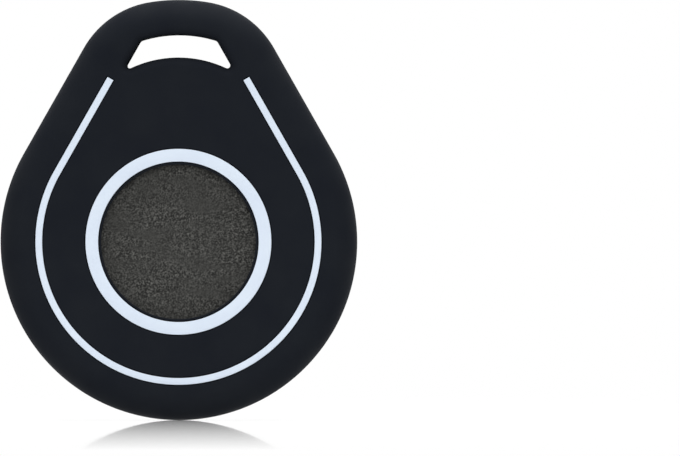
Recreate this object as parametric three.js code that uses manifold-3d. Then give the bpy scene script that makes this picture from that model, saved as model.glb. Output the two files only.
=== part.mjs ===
// Key fob cover: a soft silicone sleeve on the round one-button fob that it holds.
// Millimetres. +X to the right, -Y to the front (the button side), +Z up.
// The part hangs on its key ring: the origin is the upper edge of the ring slot, half way through.
// Inside the model, depths along Y are counted from the fob's front face, and X and Z from the button's axis.

import * as THREE from 'three';
import { mergeVertices } from 'three/addons/utils/BufferGeometryUtils.js';
import Module from 'manifold-3d';

const wasm = await Module();
wasm.setup();

// Sleeve outline, seen from the front
const BODY_R = 21.0; // round lower body
const SIDE_LEAN = 29.6; // degrees that the straight sides lean in
const SHOULDER_R = 10.9; // arcs between the sides and the crown
const SHOULDER_X = 1.7; // centres of the shoulder arcs, left and right of the middle
const CROWN_R = 21.2; // flat arc across the top

// Sleeve section
const COVER_WALL = 1.3;
const COVER_FIT = 0.3; // sleeve to fob, all round
const EDGE_REACH = 3.0; // rounding of the rim, measured across the face
const EDGE_DEPTH = 4.0; // rounding of the rim, measured through the thickness
const EDGE_LEAST = 0.3; // least rounding inside a shell
const WINDOW_R = 9.1;
const WINDOW_LIP = 0.15; // chamfer of the window's edge

// Key-ring slot
const SLOT_BRIDGE = 4.1; // crown to the slot's upper edge
const SLOT_HEIGHT = 2.7; // on the middle line
const SLOT_SIDE_INSET = 5.4; // straight sides of the outline to the slot's ends
const SLOT_TOP_R = 14.7;
const SLOT_BOTTOM_R = 13.2;
const SLOT_TOP_CORNER = 0.6;
const SLOT_BOTTOM_CORNER = 0.35;
const SLOT_LIP = 0.9; // rounding of the slot's edges in the sleeve
const SLOT_STEP = 0.3; // the fob's passage is this much wider than the sleeve's slot, all round

// White inlays, flush with the front face
const LINE_INSET = 4.57; // outline to the middle of the line
const LINE_WIDTH = 0.8;
const LINE_DROP = 9.3; // crown to the line's ends
const RING_LIP = 0.34; // window to ring
const RING_WIDTH = 1.5;
const INLAY_DEPTH = 0.5;
const INLAY_GAP = 0.05;

// Fob shells
const SHELL_WALL = 1.2;
const SPLIT_GAP = 0.1; // between the two shells
const TONGUE_WALL = 0.55; // tongue of the front shell in the rear shell's rebate
const TONGUE_HEIGHT = 0.9;
const TONGUE_FIT = 0.1;
const COLLAR_WALL = 1.2; // wall around the slot's passage
const ROOT = 0.4; // how far a rib or boss sinks into the wall that carries it
const SEAT = 0.05; // film between two pieces that rest on each other

// Button and switch
const BUTTON_R = 9.6;
const BUTTON_FIT = 0.25; // button to its hole and guide ring
const BUTTON_EDGE = 0.3; // chamfer of the button's face
const BUTTON_TRAVEL = 0.3;
const FLANGE_REACH = 0.8; // retaining flange beyond the button
const FLANGE_THICK = 0.5;
const POST_R = 1.4;
const POST_LENGTH = 0.15; // least length of the post that meets the plunger
const GUIDE_WALL = 1.0;
const SWITCH_SIZE = 4.6;
const SWITCH_SHEET = 0.15; // sheet of the switch frame
const SWITCH_FLOOR = 0.15;
const PLUNGER_R = 1.1;
const PLUNGER_FOOT_R = 1.5;
const PLUNGER_FOOT = 0.2;
const PLUNGER_FIT = 0.1;
const PLUNGER_SPARE = 0.15; // plunger still stands this proud when pressed

// Circuit board and its parts
const BOARD_THICK = 0.6;
const BOARD_FIT = 0.3; // board to the screw bosses
const KEY_WIDTH = 1.6; // rib that keeps the board from turning
const KEY_DEPTH = 1.0;
const KEY_FIT = 0.2;
const PART_CLEAR = 0.15; // pressed button to the tallest part
const PART_GAP = 1.2; // switch to its neighbours
const CHIP_SIZE = 5.0;
const CHIP_THICK = 0.85;
const CRYSTAL_LENGTH = 3.2;
const CRYSTAL_WIDTH = 2.5;
const CRYSTAL_THICK = 0.7;
const ANTENNA_LENGTH = 7.0;
const ANTENNA_WIDTH = 2.0;
const ANTENNA_THICK = 0.8;
const CAPACITOR_LENGTH = 3.2;
const CAPACITOR_WIDTH = 1.6;
const CAPACITOR_THICK = 0.8;

// Coin cell and contacts
const CELL_R = 10.0;
const CELL_THICK = 3.2;
const CELL_FIT = 0.3; // cell to its cup
const CELL_PLAY = 0.15; // cell to the door
const CAN_WALL = 0.25;
const CRIMP = 1.0; // crimped edge of the can
const GASKET_WALL = 0.35;
const CAP_PROUD = 0.2; // cap beyond the crimped edge
const CONTACT_SPACE = 0.35; // board to cell
const CONTACT_SHEET = 0.15;
const CONTACT_R = 4.0; // dished negative contact
const CONTACT_CROWN_R = 1.5;
const CLIP_SHEET = 0.25;
const CLIP_WIDTH = 4.0;
const CLIP_FOOT = 2.5;
const CLIP_RISE = 1.3; // clip above the front of the cell
const CLIP_FIT = 0.3; // clip to its notch in the cup

// Battery cup, bayonet and door
const CUP_WALL = 1.2;
const DOOR_THICK = 1.0;
const DOOR_RIM = 0.5; // rim of the door beside the cell
const DOOR_FIT = 0.2;
const DOOR_GAP = 0.15; // door rim to its floor
const DOOR_TURN = 45; // degrees from locked to free
const SEAL_LAND = 1.4; // width of the door's rim
const SEAL_GROOVE = 0.4;
const SEAL_SIDE = 0.08; // seal to the groove's walls
const LUG_COUNT = 3;
const LUG_ARC = 26; // degrees
const LUG_REACH = 0.8;
const LUG_THICK = 0.6;
const LUG_PLAY = 0.1;
const LUG_CLEAR = 2; // degrees to the stops and entry notches
const LUG_FIRST = 20; // direction of the first lug, in degrees
const HOUSING_WALL = 1.0;
const FLOOR_THICK = 1.0;
const COIN_SLOT_LENGTH = 12.0;
const COIN_SLOT_WIDTH = 1.6;
const COIN_SLOT_DEPTH = 0.5;

// Screws
const SCREW_COUNT = 3;
const SCREW_FIRST = 90; // direction of the first screw, in degrees
const SCREW_R = 0.7;
const SCREW_LENGTH = 5.0;
const SCREW_FIT = 0.1;
const HEAD_R = 1.25;
const HEAD_THICK = 0.8;
const HEAD_SINK = 0.3; // head below the rear face
const HEAD_FIT = 0.15;
const CROSS_LENGTH = 1.5;
const CROSS_WIDTH = 0.35;
const CROSS_DEPTH = 0.4;
const BOSS_R = 1.8;
const BOSS_GAP = 0.3; // boss to the bayonet housing

// Fineness of the faceted surfaces
const OUTLINE_STEP = 10; // degrees
const LINE_STEP = 6; // degrees
const CORNER_STEP = 30; // degrees
const TURN_STEPS = 36;
const SMALL_TURN_STEPS = 12;
const EDGE_STEPS = 4;
const INNER_EDGE_STEPS = 3;
const LIP_STEPS = 3;
const SEAL_STEPS = 6;
const CUT = 1.0; // how far a cutting shape reaches past a face

const radians = THREE.MathUtils.degToRad;

// Outline of the sleeve, worked out from its arcs
const lean = radians(SIDE_LEAN);
const shoulderZ = (BODY_R - SHOULDER_R - Math.cos(lean) * SHOULDER_X) / Math.sin(lean);
const crownCentreZ = shoulderZ - Math.sqrt((CROWN_R - SHOULDER_R) ** 2 - SHOULDER_X ** 2);
const crownStart = Math.atan2(shoulderZ - crownCentreZ, SHOULDER_X);
const crownZ = crownCentreZ + CROWN_R;
const slotTop = crownZ - SLOT_BRIDGE;
const slotBottom = slotTop - SLOT_HEIGHT;

// Depths through the fob, counted from its front face
const tallestPart = Math.max(CHIP_THICK, CRYSTAL_THICK, ANTENNA_THICK, CAPACITOR_THICK);
const plungerRise = BUTTON_TRAVEL + PLUNGER_SPARE;
const switchBaseHeight = PLUNGER_FOOT + BUTTON_TRAVEL + SEAT + SWITCH_FLOOR;
const switchHeight = plungerRise + SWITCH_SHEET + SEAT + switchBaseHeight + SEAT;
const boardSpace = Math.max(switchHeight + SEAT + POST_LENGTH, BUTTON_TRAVEL + tallestPart + PART_CLEAR);
const flangeFront = SHELL_WALL + SEAT;
const flangeBack = flangeFront + FLANGE_THICK;
const boardFront = flangeBack + boardSpace;
const boardBack = boardFront + BOARD_THICK;
const plungerTip = boardFront - switchHeight;
const cellFront = boardBack + CONTACT_SPACE;
const cellBack = cellFront + CELL_THICK;
const doorInner = cellBack + CELL_PLAY;
const fobThick = doorInner + DOOR_THICK;
const splitDepth = fobThick / 2;
const doorRim = doorInner - DOOR_RIM;
const doorFloor = doorRim - DOOR_GAP;
const ledgeFront = doorRim + LUG_THICK + LUG_PLAY;
const coverFront = -COVER_FIT - COVER_WALL;
const coverBack = fobThick + COVER_FIT + COVER_WALL;
const headTop = fobThick - HEAD_SINK;
const headSeat = headTop - HEAD_THICK;
const screwTip = headSeat - SCREW_LENGTH;

// Insets from the sleeve's outer surface, and radii around the button's axis
const shellInset = COVER_WALL + COVER_FIT;
const hollowInset = shellInset + SHELL_WALL;
const ringInner = WINDOW_R + RING_LIP;
const ringOuter = ringInner + RING_WIDTH;
const flangeR = BUTTON_R + FLANGE_REACH;
const guideR = flangeR + BUTTON_FIT;
const cupR = CELL_R + CELL_FIT;
const doorR = cupR + SEAL_LAND;
const doorHoleR = doorR + DOOR_FIT;
const lugR = doorR + LUG_REACH;
const trackR = lugR + DOOR_FIT;
const housingR = trackR + HOUSING_WALL;
const screwCircle = housingR + BOSS_GAP + BOSS_R;
const boardR = screwCircle - BOSS_R - BOARD_FIT;
const sealR = cupR + SEAL_LAND / 2;
const sealSection = (DOOR_GAP + SEAL_GROOVE) / 2 - SEAT;

// Materials
function finish(color, roughness, metalness = 0) {
  return new THREE.MeshStandardMaterial({ color, roughness, metalness });
}

const blackSilicone = finish(0x1e2126, 0.62);
const whiteSilicone = finish(0xdde8f6, 0.5);
const blackPlastic = finish(0x1b1c1e, 0.45);
const greyPlastic = finish(0x41413f, 0.7);
const boardGreen = finish(0x1f5a3a, 0.45);
const partBlack = finish(0x202124, 0.4);
const ceramic = finish(0xb8a88c, 0.55);
const ceramicWhite = finish(0xd8d6cf, 0.5);
const steel = finish(0xbfc3c7, 0.3, 1);
const nickel = finish(0xc9c4b6, 0.32, 1);
const gasketNylon = finish(0x3a3f45, 0.6);
const sealRubber = finish(0x141414, 0.7);

// A closed solid from a geometry: corners merged, empty triangles dropped, faces turned outwards.
function solidOf(geometry) {
  geometry.deleteAttribute('normal');
  geometry.deleteAttribute('uv');
  const merged = mergeVertices(geometry);
  const points = merged.attributes.position;
  const corner = (i) => new THREE.Vector3().fromBufferAttribute(points, i);
  const triangles = [];
  let volume = 0;
  for (let i = 0; i < merged.index.count; i += 3) {
    const [a, b, c] = merged.index.array.subarray(i, i + 3);
    if (a === b || b === c || c === a) continue;
    triangles.push(a, b, c);
    volume += corner(a).dot(corner(b).cross(corner(c)));
  }
  if (volume < 0) triangles.reverse();
  const mesh = new wasm.Mesh({
    numProp: 3,
    vertProperties: points.array,
    triVerts: Uint32Array.from(triangles),
  });
  return new wasm.Manifold(mesh);
}

function geometryOf(solid) {
  const { vertProperties, triVerts } = solid.getMesh();
  const geometry = new THREE.BufferGeometry();
  geometry.setAttribute('position', new THREE.BufferAttribute(vertProperties, 3));
  geometry.setIndex(new THREE.BufferAttribute(triVerts, 1));
  geometry.computeVertexNormals();
  return geometry;
}

// A box between two corners.
function block(x0, x1, depth0, depth1, z0, z1) {
  const geometry = new THREE.BoxGeometry(x1 - x0, depth1 - depth0, z1 - z0);
  geometry.translate((x0 + x1) / 2, (depth0 + depth1) / 2, (z0 + z1) / 2);
  return solidOf(geometry);
}

// A flat outline in X and Z, carried from one depth to another.
function prism(shape, depth0, depth1) {
  const geometry = new THREE.ExtrudeGeometry(shape, { depth: depth1 - depth0, bevelEnabled: false });
  geometry.rotateX(Math.PI / 2);
  geometry.translate(0, depth1, 0);
  return solidOf(geometry);
}

// A body turned about the button's axis, from corners given as [radius, depth].
function turned(corners, steps = TURN_STEPS) {
  const profile = corners.map(([r, depth]) => new THREE.Vector2(r, depth));
  if (corners[0][0] > 0) profile.push(profile[0].clone());
  return solidOf(new THREE.LatheGeometry(profile, steps));
}

function cylinder(r, depth0, depth1, steps = TURN_STEPS) {
  return turned([[0, depth0], [r, depth0], [r, depth1], [0, depth1]], steps);
}

function tube(r0, r1, depth0, depth1) {
  return turned([[r0, depth0], [r1, depth0], [r1, depth1], [r0, depth1]]);
}

// A closed body through equal outlines, each [outline, depth], from one end to the other.
function loft(layers) {
  const count = layers[0][0].length;
  const positions = layers.flatMap(([outline, depth]) => outline.flatMap((p) => [p.x, depth, p.y]));
  const last = (layers.length - 1) * count;
  const index = [];
  for (let layer = 0; layer < last; layer += count) {
    for (let i = 0; i < count; i++) {
      const j = (i + 1) % count;
      index.push(layer + i, layer + j, layer + count + j);
      index.push(layer + i, layer + count + j, layer + count + i);
    }
  }
  for (const [a, b, c] of THREE.ShapeUtils.triangulateShape(layers[0][0], [])) {
    index.push(c, b, a, last + a, last + b, last + c);
  }
  const geometry = new THREE.BufferGeometry();
  geometry.setAttribute('position', new THREE.Float32BufferAttribute(positions, 3));
  geometry.setIndex(index);
  return solidOf(geometry);
}

// Points along an arc, without its last one.
function arc(x, z, r, start, end, step) {
  const count = Math.ceil(Math.abs(end - start) / radians(step));
  return Array.from({ length: count }, (_, i) => {
    const angle = start + ((end - start) * i) / count;
    return new THREE.Vector2(x + r * Math.cos(angle), z + r * Math.sin(angle));
  });
}

function onArc(x, z, r, angle) {
  return new THREE.Vector2(x + r * Math.cos(angle), z + r * Math.sin(angle));
}

// The drop-shaped outline, moved inwards by an inset.
function outline(inset) {
  const left = Math.PI - lean;
  const leftCrown = Math.PI - crownStart;
  return [
    ...arc(0, 0, BODY_R - inset, left - 2 * Math.PI, lean, OUTLINE_STEP),
    onArc(0, 0, BODY_R - inset, lean),
    ...arc(SHOULDER_X, shoulderZ, SHOULDER_R - inset, lean, crownStart, OUTLINE_STEP),
    ...arc(0, crownCentreZ, CROWN_R - inset, crownStart, leftCrown, OUTLINE_STEP),
    ...arc(-SHOULDER_X, shoulderZ, SHOULDER_R - inset, leftCrown, left, OUTLINE_STEP),
    onArc(-SHOULDER_X, shoulderZ, SHOULDER_R - inset, left),
  ];
}

// The whole rounded body, moved inwards from the sleeve's outer surface by an inset.
function pillow(inset) {
  const front = coverFront + inset;
  const back = coverBack - inset;
  const reach = Math.max(EDGE_REACH - inset, EDGE_LEAST);
  const depth = Math.min(Math.max(EDGE_DEPTH - inset, EDGE_LEAST), (back - front) / 2 - EDGE_LEAST);
  const steps = inset > 0 ? INNER_EDGE_STEPS : EDGE_STEPS;
  const layers = [];
  for (let i = 0; i <= steps; i++) {
    const angle = ((Math.PI / 2) * i) / steps;
    layers.push([outline(inset + reach * (1 - Math.sin(angle))), depth * (1 - Math.cos(angle))]);
  }
  const frontLayers = layers.map(([edge, rise]) => [edge, front + rise]);
  const backLayers = layers.map(([edge, rise]) => [edge, back - rise]).reverse();
  return loft([...frontLayers, ...backLayers]);
}

// Everything of the part between two depths.
function slab(depth0, depth1) {
  const reach = BODY_R + CUT;
  return block(-reach, reach, depth0, depth1, -reach, crownZ + CUT);
}

// The centre of a corner arc that touches the slot's right side and its upper or lower arc.
function slotCorner(centreZ, centreDistance, cornerR) {
  const side = BODY_R - SLOT_SIDE_INSET - cornerR;
  const offset = side - centreZ * Math.sin(lean);
  const along = centreZ * Math.cos(lean) + Math.sqrt(centreDistance ** 2 - offset ** 2);
  return new THREE.Vector2(
    side * Math.cos(lean) - along * Math.sin(lean),
    side * Math.sin(lean) + along * Math.cos(lean),
  );
}

// The slot's outline, moved outwards by a growth.
function slotOutline(growth) {
  const topZ = slotTop - SLOT_TOP_R;
  const bottomZ = slotBottom - SLOT_BOTTOM_R;
  const top = slotCorner(topZ, SLOT_TOP_R - SLOT_TOP_CORNER, SLOT_TOP_CORNER);
  const bottom = slotCorner(bottomZ, SLOT_BOTTOM_R + SLOT_BOTTOM_CORNER, SLOT_BOTTOM_CORNER);
  const topR = SLOT_TOP_CORNER + growth;
  const bottomR = SLOT_BOTTOM_CORNER + growth;
  const topAngle = Math.atan2(top.y - topZ, top.x);
  const bottomAngle = Math.atan2(bottom.y - bottomZ, bottom.x);
  const left = Math.PI - lean;
  return [
    ...arc(top.x, top.y, topR, lean, topAngle, CORNER_STEP),
    ...arc(0, topZ, SLOT_TOP_R + growth, topAngle, Math.PI - topAngle, OUTLINE_STEP),
    ...arc(-top.x, top.y, topR, Math.PI - topAngle, left, CORNER_STEP),
    onArc(-top.x, top.y, topR, left),
    ...arc(-bottom.x, bottom.y, bottomR, left, 2 * Math.PI - bottomAngle, CORNER_STEP),
    ...arc(0, bottomZ, SLOT_BOTTOM_R - growth, Math.PI - bottomAngle, bottomAngle, OUTLINE_STEP),
    ...arc(bottom.x, bottom.y, bottomR, bottomAngle - Math.PI, lean, CORNER_STEP),
    onArc(bottom.x, bottom.y, bottomR, lean),
  ];
}

// The cut for the slot through one wall of the sleeve, with a rounded lip on the outer face.
function slotCut(face, inwards) {
  const lip = Math.min(SLOT_LIP, COVER_WALL);
  const layers = [[slotOutline(lip), face - inwards * CUT]];
  for (let i = 0; i <= LIP_STEPS; i++) {
    const angle = ((Math.PI / 2) * i) / LIP_STEPS;
    layers.push([slotOutline(lip * (1 - Math.sin(angle))), face + inwards * lip * (1 - Math.cos(angle))]);
  }
  layers.push([slotOutline(0), face + inwards * (COVER_WALL + COVER_FIT)]);
  return loft(layers);
}

function slotPrism(growth, depth0, depth1) {
  return prism(new THREE.Shape(slotOutline(growth)), depth0, depth1);
}

// The white line: an arc around the lower body with two straight legs, grown by a gap all round.
function lineShape(gap) {
  const middleR = BODY_R - LINE_INSET;
  const half = LINE_WIDTH / 2 + gap;
  const endZ = crownZ - LINE_DROP;
  const endX = (middleR - endZ * Math.sin(lean)) / Math.cos(lean);
  const end = (side, offset) => new THREE.Vector2(
    side * (endX + offset * Math.cos(lean) - gap * Math.sin(lean)),
    endZ + offset * Math.sin(lean) + gap * Math.cos(lean),
  );
  const left = Math.PI - lean - 2 * Math.PI;
  return new THREE.Shape([
    end(-1, half),
    ...arc(0, 0, middleR + half, left, lean, LINE_STEP),
    onArc(0, 0, middleR + half, lean),
    end(1, half),
    end(1, -half),
    ...arc(0, 0, middleR - half, lean, left, LINE_STEP),
    onArc(0, 0, middleR - half, left),
    end(-1, -half),
  ]);
}

// A piece of a ring between two directions, in degrees.
function sector(r0, r1, start, end, depth0, depth1) {
  const shape = new THREE.Shape([
    ...arc(0, 0, r1, radians(start), radians(end), OUTLINE_STEP),
    onArc(0, 0, r1, radians(end)),
    ...arc(0, 0, r0, radians(end), radians(start), OUTLINE_STEP),
    onArc(0, 0, r0, radians(start)),
  ]);
  return prism(shape, depth0, depth1);
}

// A flat band that follows the outline between two insets.
function outlineBand(outerInset, innerInset, depth0, depth1) {
  const shape = new THREE.Shape(outline(outerInset));
  shape.holes.push(new THREE.Path(outline(innerInset)));
  return prism(shape, depth0, depth1);
}

function screwPlaces() {
  return Array.from({ length: SCREW_COUNT }, (_, i) => (
    onArc(0, 0, screwCircle, radians(SCREW_FIRST + (360 * i) / SCREW_COUNT))
  ));
}

function lugDirections() {
  return Array.from({ length: LUG_COUNT }, (_, i) => LUG_FIRST + (360 * i) / LUG_COUNT);
}

// Sleeve and inlays
function coverSleeve() {
  const grooveFloor = coverFront + INLAY_DEPTH + INLAY_GAP;
  const windowCut = turned([
    [0, coverFront - CUT],
    [WINDOW_R + WINDOW_LIP, coverFront - CUT],
    [WINDOW_R + WINDOW_LIP, coverFront],
    [WINDOW_R, coverFront + WINDOW_LIP],
    [WINDOW_R, 0],
    [0, 0],
  ]);
  const ringGroove = tube(ringInner - INLAY_GAP, ringOuter + INLAY_GAP, coverFront - CUT, grooveFloor);
  return pillow(0)
    .subtract(pillow(COVER_WALL))
    .subtract(windowCut)
    .subtract(slotCut(coverFront, 1))
    .subtract(slotCut(coverBack, -1))
    .subtract(ringGroove)
    .subtract(prism(lineShape(INLAY_GAP), coverFront - CUT, grooveFloor));
}

function coverLineInlay() {
  return prism(lineShape(0), coverFront, coverFront + INLAY_DEPTH);
}

function coverRingInlay() {
  return tube(ringInner, ringOuter, coverFront, coverFront + INLAY_DEPTH);
}

// Fob shells
function hollowBody() {
  return pillow(shellInset).subtract(pillow(hollowInset));
}

function slotCollar(depth0, depth1) {
  return slotPrism(SLOT_STEP + COLLAR_WALL, depth0, depth1).intersect(pillow(shellInset));
}

function frontShell() {
  const wallDepth = SHELL_WALL - ROOT;
  const hollowR = BODY_R - hollowInset;
  const keyTop = -(boardR - KEY_DEPTH + KEY_FIT);
  let shell = hollowBody()
    .intersect(slab(-CUT, splitDepth))
    .add(outlineBand(hollowInset - TONGUE_WALL, hollowInset, splitDepth - ROOT, splitDepth + TONGUE_HEIGHT))
    .add(slotCollar(wallDepth, splitDepth))
    .add(tube(guideR, guideR + GUIDE_WALL, wallDepth, boardFront - SEAT))
    .add(block(-KEY_WIDTH / 2, KEY_WIDTH / 2, wallDepth, boardBack, -hollowR - ROOT, keyTop));
  for (const place of screwPlaces()) {
    const boss = cylinder(BOSS_R, wallDepth, splitDepth, SMALL_TURN_STEPS);
    const pilot = cylinder(SCREW_R + SCREW_FIT, screwTip - SCREW_FIT, splitDepth + CUT, SMALL_TURN_STEPS);
    const at = [place.x, 0, place.y];
    shell = shell.add(boss.translate(at)).subtract(pilot.translate(at));
  }
  return shell
    .subtract(cylinder(BUTTON_R + BUTTON_FIT, -CUT, SHELL_WALL + CUT))
    .subtract(slotPrism(SLOT_STEP, -CUT, splitDepth + TONGUE_HEIGHT + CUT));
}

function rearShell() {
  const start = splitDepth + SPLIT_GAP;
  const wallDepth = fobThick - SHELL_WALL + ROOT;
  const rebateOuter = hollowInset - TONGUE_WALL - TONGUE_FIT;
  const rebateDepth = splitDepth + TONGUE_HEIGHT + TONGUE_FIT;
  const halfNotch = LUG_ARC / 2 + LUG_CLEAR;
  let shell = hollowBody()
    .intersect(slab(start, coverBack))
    .add(slotCollar(start, wallDepth))
    .add(cylinder(cupR + CUP_WALL, boardBack + SEAT, wallDepth))
    .add(cylinder(housingR, doorFloor - FLOOR_THICK, wallDepth));
  for (const place of screwPlaces()) {
    const boss = cylinder(BOSS_R, start, wallDepth, SMALL_TURN_STEPS);
    const hole = cylinder(SCREW_R + SCREW_FIT, start - CUT, fobThick, SMALL_TURN_STEPS);
    const headHole = cylinder(HEAD_R + HEAD_FIT, headSeat - SEAT, fobThick + CUT, SMALL_TURN_STEPS);
    const at = [place.x, 0, place.y];
    shell = shell.add(boss.translate(at)).subtract(hole.translate(at)).subtract(headHole.translate(at));
  }
  shell = shell
    .subtract(outlineBand(rebateOuter, hollowInset + TONGUE_FIT, start - CUT, rebateDepth))
    .subtract(cylinder(cupR, boardBack - CUT, doorFloor + SEAT))
    .subtract(cylinder(trackR, doorFloor, ledgeFront))
    .subtract(cylinder(doorHoleR, doorFloor, fobThick + CUT));
  for (const direction of lugDirections()) {
    const notchStart = direction - DOOR_TURN - halfNotch;
    const notchEnd = direction - DOOR_TURN + halfNotch;
    const stopStart = direction + halfNotch;
    const stopEnd = direction + 360 / LUG_COUNT - DOOR_TURN - halfNotch;
    shell = shell
      .subtract(sector(doorHoleR - ROOT, trackR, notchStart, notchEnd, doorFloor, fobThick + CUT))
      .add(sector(doorHoleR, trackR + ROOT, stopStart, stopEnd, doorFloor - ROOT, ledgeFront + ROOT));
  }
  const clipHalf = CLIP_WIDTH / 2 + CLIP_FIT;
  const clipTop = cellFront + CLIP_RISE + CLIP_FIT;
  return shell
    .subtract(slotPrism(SLOT_STEP, start - CUT, fobThick + CUT))
    .subtract(block(0, cupR + CUP_WALL + CUT, boardBack - CUT, clipTop, -clipHalf, clipHalf));
}

// Button, board and switch
function fobButton() {
  return turned([
    [0, 0],
    [BUTTON_R - BUTTON_EDGE, 0],
    [BUTTON_R, BUTTON_EDGE],
    [BUTTON_R, flangeFront],
    [flangeR, flangeFront],
    [flangeR, flangeBack],
    [POST_R, flangeBack],
    [POST_R, plungerTip - SEAT],
    [0, plungerTip - SEAT],
  ]);
}

function circuitBoard() {
  const keyHalf = KEY_WIDTH / 2 + KEY_FIT;
  const keyTop = -(boardR - KEY_DEPTH);
  return cylinder(boardR, boardFront, boardBack)
    .subtract(block(-keyHalf, keyHalf, boardFront - CUT, boardBack + CUT, -boardR - CUT, keyTop));
}

const frameTop = plungerTip + plungerRise;
const switchBaseTop = frameTop + SWITCH_SHEET + SEAT;

function switchBase() {
  const half = SWITCH_SIZE / 2;
  const well = cylinder(PLUNGER_FOOT_R + PLUNGER_FIT, switchBaseTop - CUT, boardFront - SEAT - SWITCH_FLOOR);
  return block(-half, half, switchBaseTop, boardFront - SEAT, -half, half).subtract(well);
}

function switchFrame() {
  const half = SWITCH_SIZE / 2;
  const legInner = half + SEAT;
  const legOuter = legInner + SWITCH_SHEET;
  const sheetBack = frameTop + SWITCH_SHEET;
  const footEnd = boardFront - SEAT;
  return block(-legOuter, legOuter, frameTop, sheetBack, -half, half)
    .add(block(-legOuter, -legInner, frameTop, footEnd, -half, half))
    .add(block(legInner, legOuter, frameTop, footEnd, -half, half))
    .subtract(cylinder(PLUNGER_R + PLUNGER_FIT, frameTop - CUT, sheetBack + CUT));
}

function switchPlunger() {
  const footTop = switchBaseTop;
  return turned([
    [0, plungerTip],
    [PLUNGER_R, plungerTip],
    [PLUNGER_R, footTop],
    [PLUNGER_FOOT_R, footTop],
    [PLUNGER_FOOT_R, footTop + PLUNGER_FOOT],
    [0, footTop + PLUNGER_FOOT],
  ]);
}

// A part soldered on the front of the board, beside the switch.
function boardPart(width, height, thick, sideX, sideZ) {
  const x = sideX * (SWITCH_SIZE / 2 + PART_GAP + width / 2);
  const z = sideZ * (SWITCH_SIZE / 2 + PART_GAP + height / 2);
  const back = boardFront - SEAT;
  return block(x - width / 2, x + width / 2, back - thick, back, z - height / 2, z + height / 2);
}

// Coin cell and contacts
const crimpFront = cellFront + CAP_PROUD;
const capR = CELL_R - CRIMP - GASKET_WALL;

function coinCellCan() {
  return turned([
    [0, cellBack],
    [CELL_R, cellBack],
    [CELL_R, crimpFront],
    [CELL_R - CRIMP, crimpFront],
    [CELL_R - CRIMP, crimpFront + CAN_WALL],
    [CELL_R - CAN_WALL, crimpFront + CAN_WALL],
    [CELL_R - CAN_WALL, cellBack - CAN_WALL],
    [0, cellBack - CAN_WALL],
  ]);
}

function coinCellGasket() {
  const neckR = CELL_R - CRIMP - SEAT;
  const shoulder = crimpFront + CAN_WALL + SEAT;
  const outerR = CELL_R - CAN_WALL - SEAT;
  const back = cellBack - CAN_WALL - SEAT;
  return turned([
    [capR + SEAT, crimpFront],
    [neckR, crimpFront],
    [neckR, shoulder],
    [outerR, shoulder],
    [outerR, back],
    [capR + SEAT, back],
  ]);
}

function coinCellCap() {
  return cylinder(capR, cellFront, cellBack - CAN_WALL - SEAT);
}

function contactPositive() {
  const inner = CELL_R + SEAT;
  const foot = boardBack + SEAT;
  const half = CLIP_WIDTH / 2;
  return block(inner, inner + CLIP_SHEET, foot, cellFront + CLIP_RISE, -half, half)
    .add(block(inner, inner + CLIP_FOOT, foot, foot + CLIP_SHEET, -half, half));
}

function contactNegative() {
  const back = cellFront - SEAT;
  const foot = boardBack + SEAT;
  return turned([
    [0, back - CONTACT_SHEET],
    [CONTACT_CROWN_R, back - CONTACT_SHEET],
    [CONTACT_R, foot],
    [CONTACT_R, foot + CONTACT_SHEET],
    [CONTACT_CROWN_R, back],
    [0, back],
  ]);
}

// Battery door and seal
function batteryDoor() {
  const grooveHalf = sealSection + SEAL_SIDE;
  let door = turned([
    [0, doorInner],
    [cupR, doorInner],
    [cupR, doorRim],
    [doorR, doorRim],
    [doorR, fobThick],
    [0, fobThick],
  ]).subtract(tube(sealR - grooveHalf, sealR + grooveHalf, doorRim - CUT, doorRim + SEAL_GROOVE));
  for (const direction of lugDirections()) {
    const start = direction - LUG_ARC / 2;
    door = door.add(sector(doorR - SEAL_SIDE, lugR, start, start + LUG_ARC, doorRim, doorRim + LUG_THICK));
  }
  const halfLength = COIN_SLOT_LENGTH / 2;
  const halfWidth = COIN_SLOT_WIDTH / 2;
  const slotFloor = fobThick - COIN_SLOT_DEPTH;
  return door.subtract(block(-halfLength, halfLength, slotFloor, fobThick + CUT, -halfWidth, halfWidth));
}

function doorSeal() {
  const geometry = new THREE.TorusGeometry(sealR, sealSection, SEAL_STEPS, TURN_STEPS);
  geometry.rotateX(Math.PI / 2);
  geometry.translate(0, doorFloor + SEAT + sealSection, 0);
  return solidOf(geometry);
}

function shellScrew() {
  const crossFloor = headTop - CROSS_DEPTH;
  const long = CROSS_LENGTH / 2;
  const short = CROSS_WIDTH / 2;
  const body = turned([
    [0, screwTip],
    [SCREW_R, screwTip],
    [SCREW_R, headSeat],
    [HEAD_R, headSeat],
    [HEAD_R, headTop],
    [0, headTop],
  ], SMALL_TURN_STEPS);
  return body
    .subtract(block(-long, long, crossFloor, headTop + CUT, -short, short))
    .subtract(block(-short, short, crossFloor, headTop + CUT, -long, long));
}

const part = new THREE.Group();
part.position.set(0, -fobThick / 2, -slotTop);

function place(name, solid, material, x = 0, z = 0) {
  const mesh = new THREE.Mesh(geometryOf(solid), material);
  mesh.name = name;
  mesh.position.set(x, 0, z);
  part.add(mesh);
}

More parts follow.
